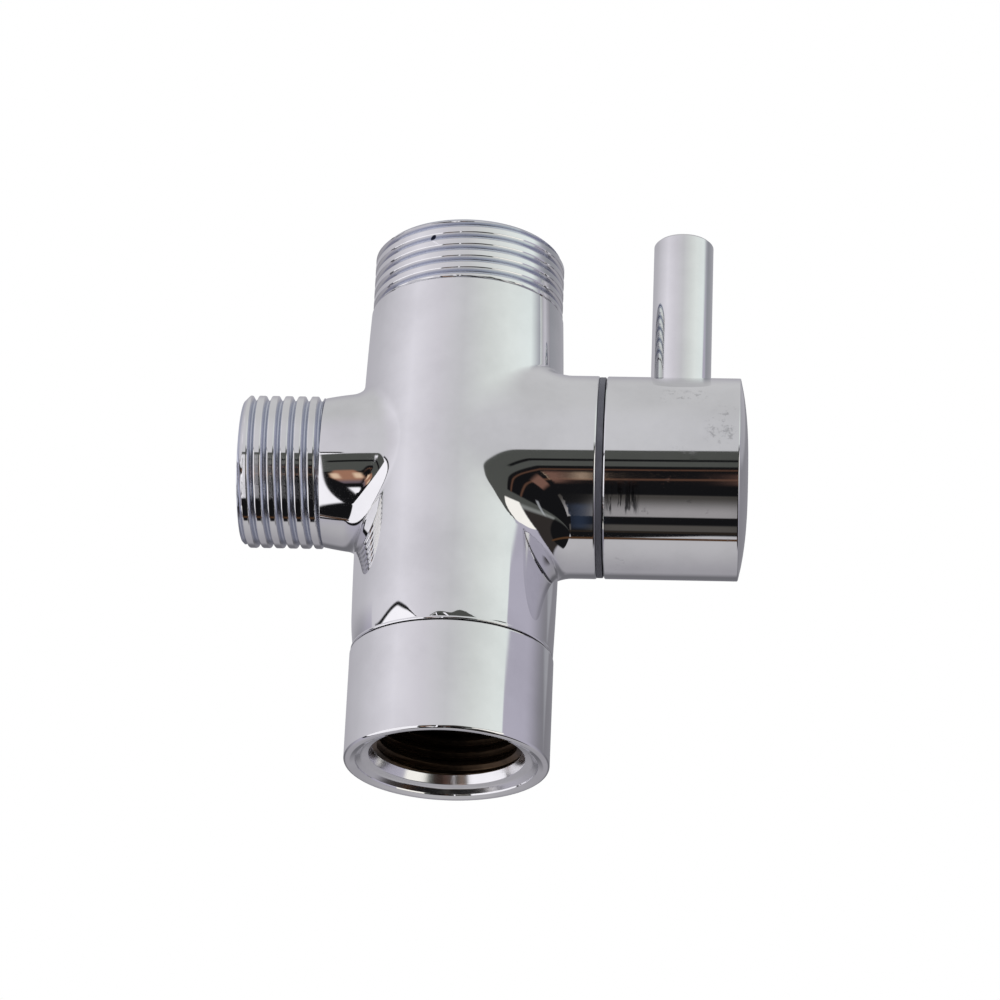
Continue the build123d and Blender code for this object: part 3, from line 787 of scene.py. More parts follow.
def skin_cells(skin, cell):
    """Surface-net cells of the skin: points and four-sided faces, just past the four trims."""
    (_, top, _), (_, bottom, _), (_, left, _), (_, right, _) = skin.trims()
    reach = skin.s["barrel_r"] + 3 * cell
    lows = (left - 2 * cell, -reach, bottom - 2 * cell)
    highs = (right + 2 * cell, reach, top + 2 * cell)
    lines = [np.arange(low, high + cell, cell) for low, high in zip(lows, highs)]
    grid = np.stack(np.meshgrid(*lines, indexing="ij"), -1)
    value = skin.field(grid)
    solid = value < 0
    cells = tuple(n - 1 for n in solid.shape)
    total = np.zeros((*cells, 3))
    count = np.zeros(cells)
    corners = [(i, j, k) for i in (0, 1) for j in (0, 1) for k in (0, 1)]
    for one in corners:
        for axis in range(3):
            if one[axis]:
                continue
            other = tuple(c + (n == axis) for n, c in enumerate(one))
            cut_a = tuple(slice(c, c + n - 1) for c, n in zip(one, solid.shape))
            cut_b = tuple(slice(c, c + n - 1) for c, n in zip(other, solid.shape))
            va, vb = value[cut_a], value[cut_b]
            crossing = (va < 0) != (vb < 0)
            t = np.where(crossing, va / np.where(crossing, va - vb, 1), 0)[..., None]
            point = grid[cut_a] * (1 - t) + grid[cut_b] * t
            total += point * crossing[..., None]
            count += crossing
    used = count > 0
    number = np.full(used.shape, -1)
    number[used] = np.arange(used.sum())
    points = total[used] / count[used][:, None]
    faces = []
    for axis in range(3):
        a = solid[tuple(slice(0, -1) if n == axis else slice(1, -1) for n in range(3))]
        b = solid[tuple(slice(1, None) if n == axis else slice(1, -1) for n in range(3))]
        step_u, step_v = np.roll(np.eye(3, dtype=int), -axis - 1, axis=0)[:2]
        at = np.argwhere(a != b) + step_u + step_v
        corner_steps = (0 * step_u, step_u, step_u + step_v, step_v)
        quad = [number[tuple((at - step).T)] for step in corner_steps]
        faces.append(np.stack(quad, -1))
    return points, np.concatenate(faces)


def skin_mesh(bm, skin, cell):
    """Puts the trimmed skin into a bmesh and returns its four open rings: top, bottom, left, right."""
    points, faces = skin_cells(skin, cell)
    points = skin.settle(points)
    verts = [bm.verts.new(p) for p in points]
    for quad in faces.tolist():
        if len(set(quad)) == 4 and min(quad) >= 0:
            bm.faces.new([verts[i] for i in quad])
    for axis, place, side in skin.trims():
        normal = [0, 0, 0]
        normal[axis] = side
        spot = [0, 0, 0]
        spot[axis] = place
        bmesh.ops.bisect_plane(
            bm, geom=bm.verts[:] + bm.edges[:] + bm.faces[:], plane_co=spot, plane_no=normal,
            clear_outer=True, dist=cell * 0.08,
        )
    loose = [v for v in bm.verts if not v.link_faces]
    bmesh.ops.delete(bm, geom=loose, context="VERTS")
    rings = []
    for axis, place, _ in skin.trims():
        edge_verts = {v for e in bm.edges if e.is_boundary for v in e.verts}
        on_plane = [v for v in edge_verts if abs(v.co[axis] - place) < cell * 0.1]
        coords = np.array([v.co for v in on_plane])
        coords[:, axis] = place
        for vertex, where in zip(on_plane, skin.settle(coords, axis)):
            vertex.co = where
        rings.append(on_plane)
    return rings


# Pieces
def check_closed(mesh):
    """Stops the script if a mesh that should be closed has an open or a doubled edge."""
    bm = bmesh.new()
    bm.from_mesh(mesh)
    faulty = sum(len(edge.link_faces) != 2 for edge in bm.edges)
    bm.free()
    if faulty:
        raise RuntimeError(f"{mesh.name} has {faulty} edges that aren't closed")


def solid_minus(outer, *tools):
    """The outer solid with the tools cut out, as a new mesh. The tools are removed."""
    check_closed(outer.data)
    for tool in tools:
        cut = outer.modifiers.new("bore", "BOOLEAN")
        cut.object = tool
        cut.operation = "DIFFERENCE"
        cut.solver = "MANIFOLD"
    bpy.context.view_layer.update()
    graph = bpy.context.evaluated_depsgraph_get()
    mesh = bpy.data.meshes.new_from_object(outer.evaluated_get(graph))
    outer.modifiers.clear()
    for tool in tools:
        bpy.data.objects.remove(tool)
    check_closed(mesh)
    return mesh


def bore_tool(name, profile, axis):
    """A closed turned solid that cuts a bore."""
    bm = bmesh.new()
    first, last = lathe(bm, profile, axis)
    close_end(bm, first, axis, profile[0][0])
    close_end(bm, last, axis, profile[-1][0])
    return mesh_object(name, bm)


def male_thread(bm, tree, t, open_ring, axis, edge, crest_r, end, start_step):
    """Joins a male thread with a closed end to an open ring of the skin, past a small rounded edge."""
    start = edge[-1][0]
    near_r = crest_r - t["depth"]
    first, last = lathe(bm, rounded([*edge, (start, near_r, 0)], 4), axis)
    join_rings(bm, open_ring, first, axis)
    values = thread_values(t, crest_r, near_r, crest_r - t["lead_in"], abs(end - start))
    placing = Matrix.Translation((0, 0, start))
    if axis == "X":
        placing = Matrix.Translation((start, 0, 0)) @ Matrix.Rotation(-math.pi / 2, 4, "Y")
    near, far = add_thread(bm, wound_thread(tree, values), placing, start_step)
    join_rings(bm, last, near, axis)
    close_end(bm, sorted(far, key=lambda v: angle_of(v, axis)), axis, end)


def casting(body, threads, tree):
    """The casting: blended skin, two wound threads, spigot, and its bores."""
    skin = Skin(body)
    s = skin.s
    t = in_mm(threads)
    bm = bmesh.new()
    top, bottom, left, right = skin_mesh(bm, skin, s["cell"])

    # Top outlet and hose outlet
    start = s["thread_start_z"]
    edge = [(start - 0.22, float(skin.barrel_radius(start - 0.22)), 0), (start, s["barrel_top_r"], 0.16)]
    male_thread(bm, tree, t, top, "Z", edge, t["top_crest_r"], t["top_end_z"], TOP_START)
    start = s["neck_end_x"]
    edge = [(start + 0.2, float(skin.neck_radius(start + 0.2)), 0), (start, s["neck_r"], 0.1)]
    male_thread(bm, tree, t, left, "X", edge, t["side_crest_r"], t["side_end_x"], SIDE_START)

    # Lever port with its soft edge
    end, soft = s["port_end_x"], s["port_edge"]
    drop = soft * 0.6
    arc_steps = 8
    port = [(end - soft + 0.02, s["port_r"])]
    for step in range(1, arc_steps + 1):
        swing = step / arc_steps * math.pi / 2
        port.append((end - soft + soft * math.sin(swing), s["port_r"] - drop * (1 - math.cos(swing))))
    first, last = lathe(bm, port, "X")
    join_rings(bm, right, first, "X")
    close_end(bm, last, "X", end)

    # Foot of the barrel and the spigot
    foot = s["shoulder_z"]
    low = s["spigot_end_z"]
    spigot = [
        (foot + 0.34, float(skin.barrel_radius(foot + 0.34)), 0),
        (foot, s["barrel_bottom_r"], 0.22),
        (foot, s["spigot_r"], 0),
        (low, s["spigot_r"], 0.25),
        (low, 8.0, 0),
    ]
    first, last = lathe(bm, rounded(spigot, 4), "Z")
    join_rings(bm, bottom, first, "Z")
    close_end(bm, last, "Z", low)
    outer = mesh_object("valve_casting", bm)

    # Bores, from the hose rim to the lever port and from the spigot to the top rim
    rim_x, rim_z = t["side_end_x"], t["top_end_z"]
    cross = [
        (rim_x - 2, 7.15), (rim_x - 0.02, 7.15), (rim_x + 0.35, 6.8), (-8.5, 6.8),
        (-8.5, 8.0), (6.9, 8.0), (6.9, 9.6), (9.21, 9.6),
        (9.21, 10.0), (12.5, 10.0), (12.5, 11.0), (end + 2, 11.0),
    ]
    upright = [
        (low - 2, 7.7), (low, 7.7), (low + 0.3, 7.4), (-14.5, 7.4),
        (-12.5, 3.9), (-10.4, 3.9), (-10.4, 5.5), (10.4, 5.5),
        (10.4, 3.9), (12.5, 3.9), (14.5, 9.2), (rim_z - 0.4, 9.2),
        (rim_z + 0.02, 9.6), (rim_z + 2, 9.6),
    ]
    tools = bore_tool("cross_bore", cross, "X"), bore_tool("upright_bore", upright, "Z")
    mesh = solid_minus(outer, *tools)
    outer.data = mesh
    mesh.shade_smooth()
    mesh.set_sharp_from_angle(angle=math.radians(SHARP))
    return outer, skin


def skin_normals(made, skin):
    """Exact normals on the blended skin, so that its reflections run without a ripple."""
    mesh = made.data
    coords = np.empty(len(mesh.vertices) * 3)
    mesh.vertices.foreach_get("co", coords)
    p = (coords.reshape(-1, 3) - np.array([0, 0, AXIS_Z])) / MM
    on_skin = np.abs(skin.field(p)) < ON_SKIN
    for axis, place, side in skin.trims():
        on_skin &= (p[:, axis] - place) * side < 0.03
    normals = np.zeros_like(p)
    normals[on_skin] = skin.slope(p[on_skin])
    normals[on_skin] /= np.linalg.norm(normals[on_skin], axis=1)[:, None]
    loops = np.empty(len(mesh.loops), int)
    mesh.loops.foreach_get("vertex_index", loops)
    starts = np.empty(len(mesh.polygons), int)
    mesh.polygons.foreach_get("loop_start", starts)
    whole = np.minimum.reduceat(on_skin[loops].astype(int), starts).astype(bool)
    counts = np.diff(np.append(starts, len(loops)))
    kept = np.repeat(whole, counts)
    custom = np.where(kept[:, None], normals[loops], 0)
    mesh.normals_split_custom_set(custom.tolist())
    return int(on_skin.sum())


def mark_faces(made, *marks):
    """Gives the faces whose middle passes the test of a mark its slot, and all others the first slot."""
    for face in made.data.polygons:
        middle = (face.center - Vector((0, 0, AXIS_Z))) / MM
        face.material_index = 0
        for slot, test in marks:
            if test(middle):
                face.material_index = slot


def in_bores(p):
    """True inside the casting's bores and on its spigot."""
    upright = math.hypot(p.x, p.y)
    cross = math.hypot(p.y, p.z)
    if p.z < FOOT_FACE_Z or upright < UPRIGHT_WALL_R:
        return True
    return cross < (HOSE_WALL_R if p.x < 0 else PORT_WALL_R)


def collar(sizes, threads, tree):
    """The swivel collar: turned outside, bevelled lip and cup, and the wound inlet thread."""
    c, t = in_mm(sizes), in_mm(threads)
    rim, top = c["rim_z"], c["top_z"]
    mouth_z = rim + c["mouth_rise"]
    thread_z = mouth_z + c["mouth_r"] - t["inlet_crest_r"] - t["depth"]
    bottom_r = t["inlet_crest_r"] + t["depth"]
    sleeve_r, sleeve_end_z = 9.95, -31.0
    outside = [
        (thread_z, bottom_r, 0),
        (mouth_z, c["mouth_r"], 0.02),
        (rim + c["cup_rise"], c["cup_r"], 0.1),
        (rim + c["cup_mid_rise"], c["cup_mid_r"], 0.9),
        (rim + c["lip_rise"] + c["lip_step"], c["lip_r"] - 0.06, 0.05),
        (rim + c["lip_rise"], c["lip_r"], 0.04),
        (rim, c["land_r"], 0.5),
        (rim, c["outer_r"], c["rim_round"]),
        (top, c["outer_r"], 0.22),
        (top, sleeve_r, 0.1),
        (sleeve_end_z, sleeve_r, 0),
        (sleeve_end_z, c["relief_r"], 0.05),
        (c["thread_top_z"], c["relief_r"], 0),
        (c["thread_top_z"], bottom_r, 0),
    ]
    bm = bmesh.new()
    first, last = lathe(bm, rounded(outside, 6), "Z")
    run = c["thread_top_z"] - thread_z
    values = thread_values(
        t, t["inlet_crest_r"], bottom_r, bottom_r, run, side=-1.0, crest=0.6, flank=1.3
    )
    near, far = add_thread(bm, wound_thread(tree, values), Matrix.Translation((0, 0, thread_z)))
    join_rings(bm, first, near, "Z")
    join_rings(bm, last, far, "Z")
    return mesh_object("collar_shell", bm, COLLAR_SHARP)


def knob_solid(sizes):
    """The knob: a drum with a low domed end, open behind round its hub."""
    k = in_mm(sizes)
    r, start, face = k["knob_r"], k["knob_start_x"], k["knob_face_x"]
    hub_bore_end = 34.1
    wall = [
        (hub_bore_end, 4.05, 0),
        (22.0, 4.05, 0.2),
        (22.0, 6.6, 0.2),
        (34.2, 6.6, 0.6),
        (34.2, 11.47, 0.8),
        (start, 11.47, 0.2),
        (start, r - k["inner_edge"] * 0.8, 0.03),
        (start + k["inner_edge"], r, 0.06),
        (face, r, k["face_edge"]),
        (face + 0.28, r - 1.3, 0),
    ]
    profile = rounded(wall, 6)
    dome_start_r = profile[-1][1]
    dome_steps = 25
    for step in range(1, dome_steps):
        radius = dome_start_r * (1 - step / dome_steps)
        height = k["dome"] * (1 - (radius / r) ** 2.8)
        profile.append((face + height, radius))
    bm = bmesh.new()
    first, last = lathe(bm, profile, "X")
    close_end(bm, first, "X", hub_bore_end)
    close_end(bm, last, "X", face + k["dome"])
    return mesh_object("knob_drum", bm)


def stick_solid(sizes):
    """The lever stick with its softened end and its tail."""
    k = in_mm(sizes)
    r, base, top, bevel = k["stick_r"], k["stick_base_z"], k["stick_top_z"], k["stick_edge"]
    tail_z, tail_r = 3.31, 2.45
    shank = [
        (tail_z, tail_r, 0),
        (base, tail_r, 0),
        (base, r, 0),
        (top - bevel, r, 0.12),
        (top, r - bevel, 0.12),
        (top, 1.0, 0),
    ]
    bm = bmesh.new()
    first, last = lathe(bm, rounded(shank, 5), "Z")
    close_end(bm, first, "Z", tail_z)
    close_end(bm, last, "Z", top)
    bmesh.ops.translate(bm, vec=(k["stick_x"], 0, 0), verts=bm.verts)
    return mesh_object("stick_shank", bm)


def ring_solid(sizes):
    """The grey spacer ring with its locating lip."""
    r = sizes.ring_r / MM
    near, far, lip = 18.95, 19.85, 18.55
    corners = [
        (near, 9.4, 0), (near, 9.75, 0), (lip, 9.75, 0), (lip, 10.95, 0.05), (near, 10.95, 0),
        (near, r, 0.15), (far, r, 0.15), (far, 9.4, 0.05), (near, 9.4, 0),
    ]
    profile = rounded(corners, 4, 0.02)[:-1]
    bm = bmesh.new()
    first, last = lathe(bm, profile, "X")
    join_rings(bm, first, last, "X")
    return mesh_object("spacer_band", bm)


FINISHES = {}


def make_finishes(scene):
    """Makes every finish once."""
    if FINISHES:
        return
    tints = {key: tuple(getattr(scene.valve_colours, key)) for key in ValveColours.__annotations__}
    chrome = tints["chrome"]

    # Mask of the grooves, for their duller plating and their painted shade
    def dull_and_shaded(g, place):
        return grooves(g, place, scene.valve_body_sizes, scene.valve_thread_sizes)

    FINISHES.update({
        "chrome": chrome_finish("bright_chrome", chrome),
        "casting_chrome": chrome_finish("casting_chrome", chrome, dull_and_shaded=dull_and_shaded, painted_nick=True),
        "turned_chrome": chrome_finish("turned_chrome", chrome, satin=0.13),
        "knob_chrome": chrome_finish("handled_chrome", chrome, smudge=0.5, marks_of=streaks),
        "inlet_brass_painted_shade": brass_finish("inlet_brass_painted_shade", INLET_BRASS_SHADED, INLET_STAIN_AND_SHADE),
        "brass": brass_finish("raw_brass", tints["brass"], tints["brass_dark"]),
        "spacer": soft_finish("grey_plastic", tints["spacer"], 0.38, 0.25),
        "rubber": soft_finish("black_rubber", tints["rubber"], 0.45, 0.3),
        "seat": soft_finish("seat_plastic", tints["seat"], 0.33, 0.15),
        "steel": soft_finish("spring_steel", tints["steel"], 0.2, 0.1, metal=1.0),
    })


def finish_piece(made, body, slot, *nodes):
    """Rides a piece on its body, in place of its CAD nodes."""
    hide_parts(*nodes)
    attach(made, body)


class VALVE_OT_casting(bpy.types.Operator):
    """Make the blended casting with its two male threads"""

    bl_idname = "valve.casting"
    bl_label = "Casting"

    def execute(self, context):
        scene = context.scene
        make_finishes(scene)
        tree = thread_tree(FINISHES["casting_chrome"])
        made, skin = casting(scene.valve_body_sizes, scene.valve_thread_sizes, tree)
        paint(made, FINISHES["casting_chrome"], FINISHES["brass"])
        mark_faces(made, (1, in_bores))
        found = skin_normals(made, skin)
        if found < FEWEST_SKIN_POINTS:
            raise RuntimeError(f"only {found} points lie on the casting's skin")
        finish_piece(made, "valve", "chrome_plate", "valve_body")
        return {"FINISHED"}


class VALVE_OT_collar(bpy.types.Operator):
    """Make the swivel collar with its inlet thread"""

    bl_idname = "valve.collar"
    bl_label = "Swivel collar"

    def execute(self, context):
        scene = context.scene
        make_finishes(scene)
        tree = thread_tree(FINISHES["inlet_brass_painted_shade"])
        made = collar(scene.valve_collar_sizes, scene.valve_thread_sizes, tree)
        paint(made, FINISHES["chrome"], FINISHES["inlet_brass_painted_shade"], FINISHES["turned_chrome"])
        mouth_r = in_mm(scene.valve_collar_sizes)["mouth_r"] - 0.02

        def in_cup(p):
            return p.z < CUP_TOP_Z and math.hypot(p.x, p.y) < CUP_WALL_R

        def in_thread(p):
            return math.hypot(p.x, p.y) < (max(mouth_r, RELIEF_WALL_R) if p.z > CUP_TOP_Z else mouth_r)

        mark_faces(made, (2, in_cup), (1, in_thread))
        finish_piece(made, "collar", "chrome_plate", "swivel_collar")
        return {"FINISHED"}


class VALVE_OT_lever(bpy.types.Operator):
    """Make the knob, its stick and the spacer ring behind it"""

    bl_idname = "valve.lever"
    bl_label = "Lever knob, stick and ring"

    def execute(self, context):
        make_finishes(context.scene)
        sizes = context.scene.valve_lever_sizes
        drum = knob_solid(sizes)
        paint(drum, FINISHES["knob_chrome"])
        finish_piece(drum, "lever", "chrome_plate", "knob")
        shank = stick_solid(sizes)
        paint(shank, FINISHES["chrome"])
        finish_piece(shank, "lever", "chrome_plate", "lever_stick")
        spacer = ring_solid(sizes)
        paint(spacer, FINISHES["spacer"])
        finish_piece(spacer, "valve", "spacer_plastic", "spacer_ring")
        return {"FINISHED"}


class VALVE_OT_inner(bpy.types.Operator):
    """Give the pieces held inside their finishes"""

    bl_idname = "valve.inner"
    bl_label = "Inner pieces"

    def execute(self, context):
        make_finishes(context.scene)
        finish_of_slot = {
            "chrome_plate": "chrome",
            "raw_brass": "brass",
            "spring_steel": "steel",
            "seal_rubber": "rubber",
            "seat_plastic": "seat",
            "spacer_plastic": "spacer",
        }
        for part in frame["record"]["subparts"]:
            node = frame["nodes"].get(part["node"])
            if node is not None and not node.hide_render:
                paint(node, FINISHES[finish_of_slot[part["material_slot"]]])
        return {"FINISHED"}


# Studio: what the light tent shows by compass direction, then its colours
WALLS = (
    (0.00, (0.44, 0.43, 0.47)),
    (0.17, (0.58, 0.57, 0.61)),
    (0.33, (0.87, 0.85, 0.91)),
    (0.42, (0.74, 0.72, 0.77)),
    (0.50, (0.67, 0.67, 0.69)),
    (0.58, (0.78, 0.81, 0.79)),
    (0.65, (0.89, 0.94, 0.91)),
    (0.74, (0.90, 0.97, 0.95)),
    (0.78, (0.42, 0.43, 0.47)),
    (0.81, (0.32, 0.33, 0.36)),
    (0.89, (0.38, 0.38, 0.41)),
    (1.00, (0.44, 0.43, 0.47)),
)
GREY = (0.64, 0.64, 0.65)
TABLE_LOW = (0.56, 0.55, 0.57)
TABLE_MIDDLE = (0.39, 0.38, 0.41)
TABLE_BACK = (0.26, 0.255, 0.28)
DUSK = (0.17, 0.168, 0.185)
SLATE = (0.50, 0.48, 0.57)
WHITE = (1.15, 1.13, 1.18)
CREAM = (1.15, 1.12, 1.05)
BLACK = (0.008, 0.008, 0.009)
DEEP = (0.035, 0.030, 0.028)
OLIVE = (0.088, 0.092, 0.085)
BROWN = (0.13, 0.065, 0.042)
RUST = (0.20, 0.105, 0.08)
COPPER = (0.40, 0.20, 0.13)
PLUM = (0.17, 0.13, 0.15)
PEACH = (0.86, 0.62, 0.44)
LEG = (0.36, 0.37, 0.39)
NAVY = (0.030, 0.045, 0.080)
CARD_NEAR = (0.065, 0.06, 0.055)
CARD_FAR = (0.36, 0.345, 0.35)
CARD_FOOT = (0.09, 0.083, 0.076)
UMBER = (0.026, 0.020, 0.016)
RUSSET = (0.09, 0.045, 0.022)


def opening_in_front(g, x, turn, rise, tilt):
    """Olive cloth round a black inside, with lines, lights, a leg, a white apron and a grey card."""
    by_neck = 1.0 - turn.step(-15.0, -11.0)
    inside_top = -12.9 + turn.step(-5.0, 12.0) * 10.2 - by_neck * 7.5
    depth = rise - inside_top
    inside = (1.0 - depth.step(-0.7, 0.7)) * (1.0 - (turn + rise * 0.1).step(20.5, 22.5))
    thin_line = band(depth - by_neck * 7.5, 5.6, 8.0, 0.5) * band(turn, -26.0, 3.5, 1.0)
    opening = g.mix(thin_line, OLIVE, BLACK)
    opening = g.mix(inside, opening, BLACK)
    lines = band(depth, -4.6, -3.2, 0.6).most(band(depth, -15.5, -13.6, 0.8)) * (1.0 - by_neck) * 0.8
    opening = g.mix(lines * inside, opening, BROWN)

    # Warm lights
    warm = band(x, -0.070, -0.0412, 0.001).most(band(x, 0.006, 0.105, 0.01))
    opening = g.mix(warm * band(rise, -31.0, -19.0, 2.5), opening, RUST)
    glow_side = (turn + 21.2).absolute()
    glow = 1.0 - (glow_side + (rise + 28.0).absolute() * 0.35).step(6.2, 8.2)
    glow_tint = g.mix(rise.step(-36.0, -30.0), PLUM, COPPER)
    opening = g.mix(glow * band(rise, -37.0, -19.0, 1.5), opening, glow_tint)
    sparks = band(glow_side, 3.0, 6.4, 1.0) * band(rise, -30.0, -23.0, 2.0)
    spark = band(x, -0.0378, -0.0345, 0.0008) * band(rise, -27.0, -19.0, 2.0) * 0.7
    opening = g.mix(sparks.most(spark), opening, PEACH)

    # A leg, the apron with a strip beside it, and a blue line
    leg = band(rise + 35.0 + (turn - 21.0) * 1.04, -1.6, 1.6, 0.8) * band(turn, 20.0, 45.0, 1.0)
    opening = g.mix(leg, opening, LEG)
    apron = band(turn, -25.0, -9.0, 1.0) * band(rise, -71.0, -43.0, 1.5) * (1.0 - x.step(-0.17, -0.15))
    apron = apron.most(band(x, -0.150, -0.1188, 0.0008) * band(rise, -64.0, 1.0, 2.0))
    opening = g.mix(apron, opening, WHITE)
    blue = band(x, -0.0385, -0.0345, 0.001) * band(rise, -84.0, -55.0, 3.0)
    opening = g.mix(blue, opening, NAVY)

    # The card
    on_card = band(x, -0.033, 0.006, 0.002)
    shade = g.mix(tilt.step(-45.0, -64.0), CARD_NEAR, CARD_FAR)
    opening = g.mix(on_card * band(tilt, -69.0, -43.5, 0.9), opening, shade)
    opening = g.mix(band(tilt, -87.0, -79.0, 1.5) * on_card, opening, CARD_FOOT)
    return g.mix(band(tilt, -91.5, -87.0, 1.0), opening, UMBER)


def surroundings(g):
    """A light tent by direction: pale walls over a grey table, panels, and a dark opening in front."""
    x, y, z = g.split(g.node("ShaderNodeTexCoord", output=0))
    degrees = 180.0 / math.pi
    turn = x.math("ARCTAN2", x, -y) * degrees
    rise = z.math("ARCSINE", z) * degrees
    tilt = x.math("ARCTAN2", z, -y) * degrees
    side = turn.absolute()

    # Walls and ceiling
    walls = g.node("ShaderNodeValToRGB", {"stops": WALLS}, {"Fac": turn / 360.0 + 0.5})
    light = g.mix(rise.step(36.0, 72.0), walls, GREY)

    # Grey table behind and to the right, darker towards its far edge
    far = side.step(95.0, 150.0)
    low_table = g.mix(rise.step(-20.0, -78.0), TABLE_MIDDLE, TABLE_LOW)
    near_table = g.mix(rise.step(-6.0, -22.0), DUSK, low_table)
    table = g.mix(far, SLATE, near_table)
    table = g.mix(far * rise.step(2.0, 24.0), table, TABLE_BACK)
    right_edge = 21.8 + (turn - 66.0) * 0.19
    right_edge = right_edge - (turn - 98.0).most(0.0) * 0.35 + (turn - 140.0).most(0.0) * 0.35
    left_edge = 19.0 - (turn + 100.0) * 0.05
    on_right = turn.step(66.0, 68.0) * under(rise, right_edge)
    on_left = (1.0 - turn.step(-101.0, -99.0)) * under(rise, left_edge, -9.0, 2.0)
    light = g.mix(on_right.most(on_left), light, table)

    # White panel to the left, edged in black
    top_of_white = 1.5 + side * 0.215 - side.step(52.0, 96.0) * 12.0
    curve = rise * rise * -0.004
    left_span = band(turn - curve, -94.0, -20.0, 1.0)
    light = g.mix(left_span * under(rise, top_of_white, -0.5, 0.5), light, WHITE)
    light = g.mix(left_span * band(rise - top_of_white, -0.9, 0.9, 0.5), light, BLACK)
    light = g.mix(band(turn - curve, -101.0, -94.0, 1.2) * (1.0 - rise.step(7.0, 10.0)), light, BLACK)

    # Dark ground low on the right, and the floor straight below
    brown_top = (70.0 - turn).most(0.0) * 0.5 - 36.0
    brown_span = band(turn, 34.0, 128.0, 5.0) * under(rise, brown_top, -3.0, 3.0)
    light = g.mix(brown_span, light, DEEP)
    floor_edge = 62.0 + (side.step(150.0, 172.0) * 26.0).most((1.0 - turn.step(-112.0, -98.0)) * 12.0)
    light = g.mix(under(rise, -floor_edge, -1.5, 1.5), light, BLACK)

    # Opening in front
    head = 4.6 + turn.step(-6.0, 12.0) * 11.4 - turn.step(16.0, 31.0) * 3.6
    head = head + turn.step(38.0, 60.0) * 5.6
    span = (turn + rise * rise * 0.0042).step(-28.6, -27.4) * (1.0 - turn.step(65.0, 67.0))
    front = span * under(rise, head) * (1.0 - brown_span)
    light = g.mix(front, light, opening_in_front(g, x, turn, rise, tilt))

    # Slanted cream panel to the right, and a brown edge straight below
    cream_span = band(turn, 30.0, 67.0, 1.0) * band(rise - (-1.0 - turn * 0.5), 0.0, 90.0, 1.5)
    light = g.mix(cream_span * under(rise, -10.0 + turn * 0.39), light, CREAM)
    edge = band(tilt, -98.8, -95.8, 0.7) * band(x, -0.5, 0.5, 0.05)
    return g.mix(edge, light, RUSSET)


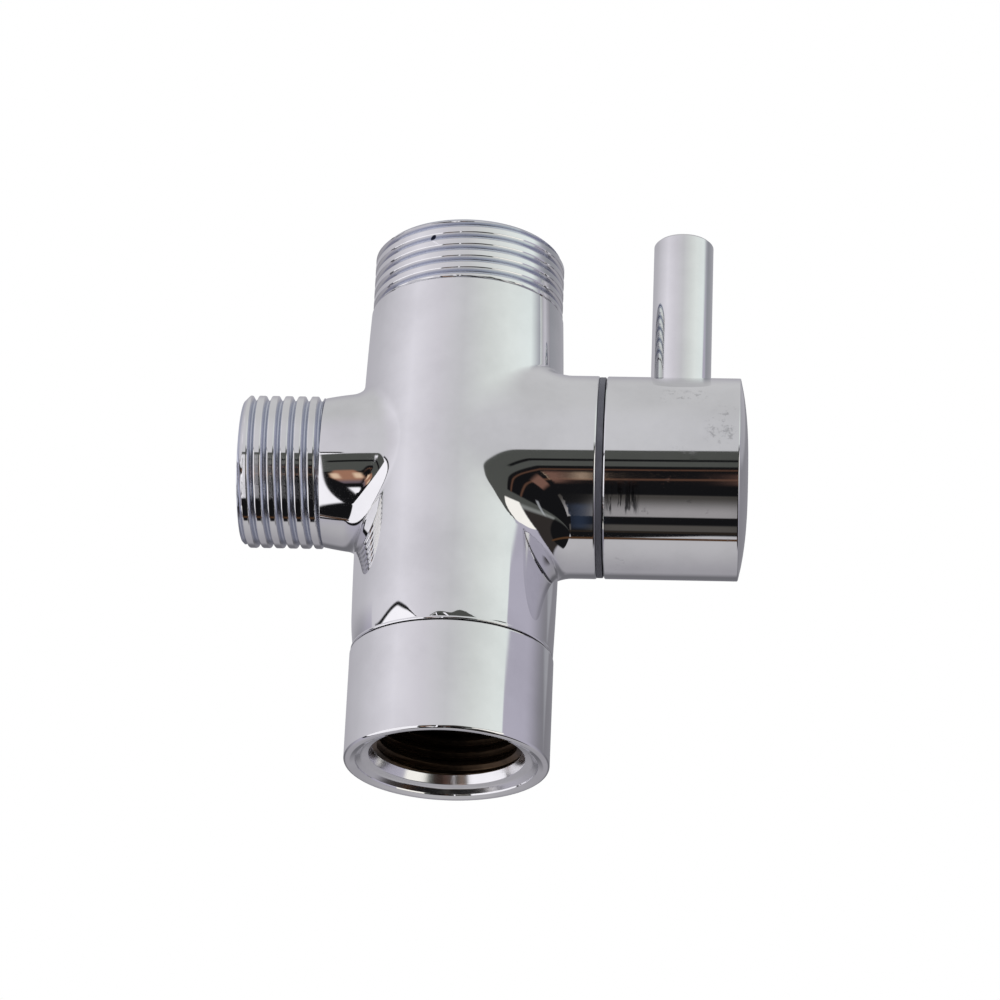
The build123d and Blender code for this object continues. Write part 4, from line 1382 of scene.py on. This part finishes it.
class VALVE_OT_stage(bpy.types.Operator):
    """Make the camera, the floor and the light tent"""

    bl_idname = "valve.stage"
    bl_label = "Camera, floor and light"

    def execute(self, context):
        stage = context.scene.valve_stage
        tints = context.scene.valve_colours
        aim = Vector(stage.aim)
        azimuth, elevation = stage.azimuth, stage.elevation
        back = Vector((
            math.sin(azimuth) * math.cos(elevation),
            -math.cos(azimuth) * math.cos(elevation),
            math.sin(elevation),
        ))
        right = Vector((math.cos(azimuth), math.sin(azimuth), 0))
        up = back.cross(right)
        turned_right = right * math.cos(stage.roll) + up * math.sin(stage.roll)
        turned_up = up * math.cos(stage.roll) - right * math.sin(stage.roll)
        camera_data = bpy.data.cameras.new("camera")
        camera_data.sensor_width = 36.0
        camera_data.lens = stage.lens
        camera_data.clip_start = 0.01
        camera_data.clip_end = 20.0
        camera = bpy.data.objects.new("camera", camera_data)
        context.scene.collection.objects.link(camera)
        facing = Matrix((turned_right, turned_up, back)).transposed().to_4x4()
        camera.matrix_world = Matrix.Translation(aim + back * stage.distance) @ facing
        context.scene.camera = camera

        world = bpy.data.worlds.new("light_tent")
        context.scene.world = world
        world.use_nodes = True
        world.node_tree.nodes.clear()
        g = Graph(world.node_tree)
        seen = g.node("ShaderNodeLightPath", output=0)
        tent = g.node("ShaderNodeBackground", None, {"Color": surroundings(g), "Strength": 1.0})
        white = g.node("ShaderNodeBackground", None, {"Color": (1.0, 1.0, 1.0), "Strength": 1.0})
        both = g.node("ShaderNodeMixShader", None, {0: seen, 1: tent, 2: white})
        g.finish("ShaderNodeOutputWorld", "Surface", both)

        bm = bmesh.new()
        bmesh.ops.create_grid(bm, x_segments=1, y_segments=1, size=1.5)
        mesh = bpy.data.meshes.new("floor")
        bm.to_mesh(mesh)
        bm.free()
        mesh.transform(Matrix.Translation((0, 0, COLLAR_LOW.z - FLOOR_GAP)))
        floor = bpy.data.objects.new("floor", mesh)
        context.scene.collection.objects.link(floor)
        material, g = new_material("plain_floor")
        under = g.node("ShaderNodeNewGeometry", output=6)
        seen = g.node("ShaderNodeLightPath", output=0)
        matt = g.node("ShaderNodeBsdfDiffuse", None, {"Color": tuple(tints.floor)})
        bright = g.node("ShaderNodeEmission", None, {"Color": (1.0, 1.0, 1.0), "Strength": 1.0})
        cloth = g.node("ShaderNodeMixShader", None, {0: seen * 0.5, 1: matt, 2: bright})
        clear = g.node("ShaderNodeBsdfTransparent")
        pale = g.node("ShaderNodeMixShader", None, {0: under, 1: cloth, 2: clear})
        g.finish("ShaderNodeOutputMaterial", "Surface", pale)
        paint(floor, material)
        for ray in ("glossy", "diffuse", "transmission", "shadow"):
            setattr(floor, f"visible_{ray}", False)
        return {"FINISHED"}


class VALVE_PT_panel(bpy.types.Panel):
    """Lists the valve's pieces and their sizes"""

    bl_idname = "VALVE_PT_panel"
    bl_label = "Shower diverter valve"
    bl_space_type = "VIEW_3D"
    bl_region_type = "UI"
    bl_category = "Valve"

    def draw(self, context):
        layout = self.layout
        for operator in OPERATORS:
            layout.operator(operator.bl_idname)
        for group in GROUPS:
            box = layout.box()
            settings = getattr(context.scene, group)
            for key in settings.__annotations__:
                box.prop(settings, key)


GROUPS = {
    "valve_body_sizes": ValveBodySizes,
    "valve_thread_sizes": ValveThreadSizes,
    "valve_collar_sizes": ValveCollarSizes,
    "valve_lever_sizes": ValveLeverSizes,
    "valve_colours": ValveColours,
    "valve_stage": ValveStage,
}
OPERATORS = (VALVE_OT_casting, VALVE_OT_collar, VALVE_OT_lever, VALVE_OT_inner, VALVE_OT_stage)


def register():
    for name, group in GROUPS.items():
        bpy.utils.register_class(group)
        setattr(bpy.types.Scene, name, bpy.props.PointerProperty(type=group))
    for operator in OPERATORS:
        bpy.utils.register_class(operator)
    bpy.utils.register_class(VALVE_PT_panel)


def unregister():
    bpy.utils.unregister_class(VALVE_PT_panel)
    for operator in reversed(OPERATORS):
        bpy.utils.unregister_class(operator)
    for name, group in GROUPS.items():
        delattr(bpy.types.Scene, name)
        bpy.utils.unregister_class(group)


def main():
    """Makes every piece in order."""
    register()
    bpy.ops.valve.casting()
    bpy.ops.valve.collar()
    bpy.ops.valve.lever()
    bpy.ops.valve.inner()
    bpy.ops.valve.stage()
    bpy.context.scene.view_settings.view_transform = "Standard"


if __name__ == "__main__":
    main()
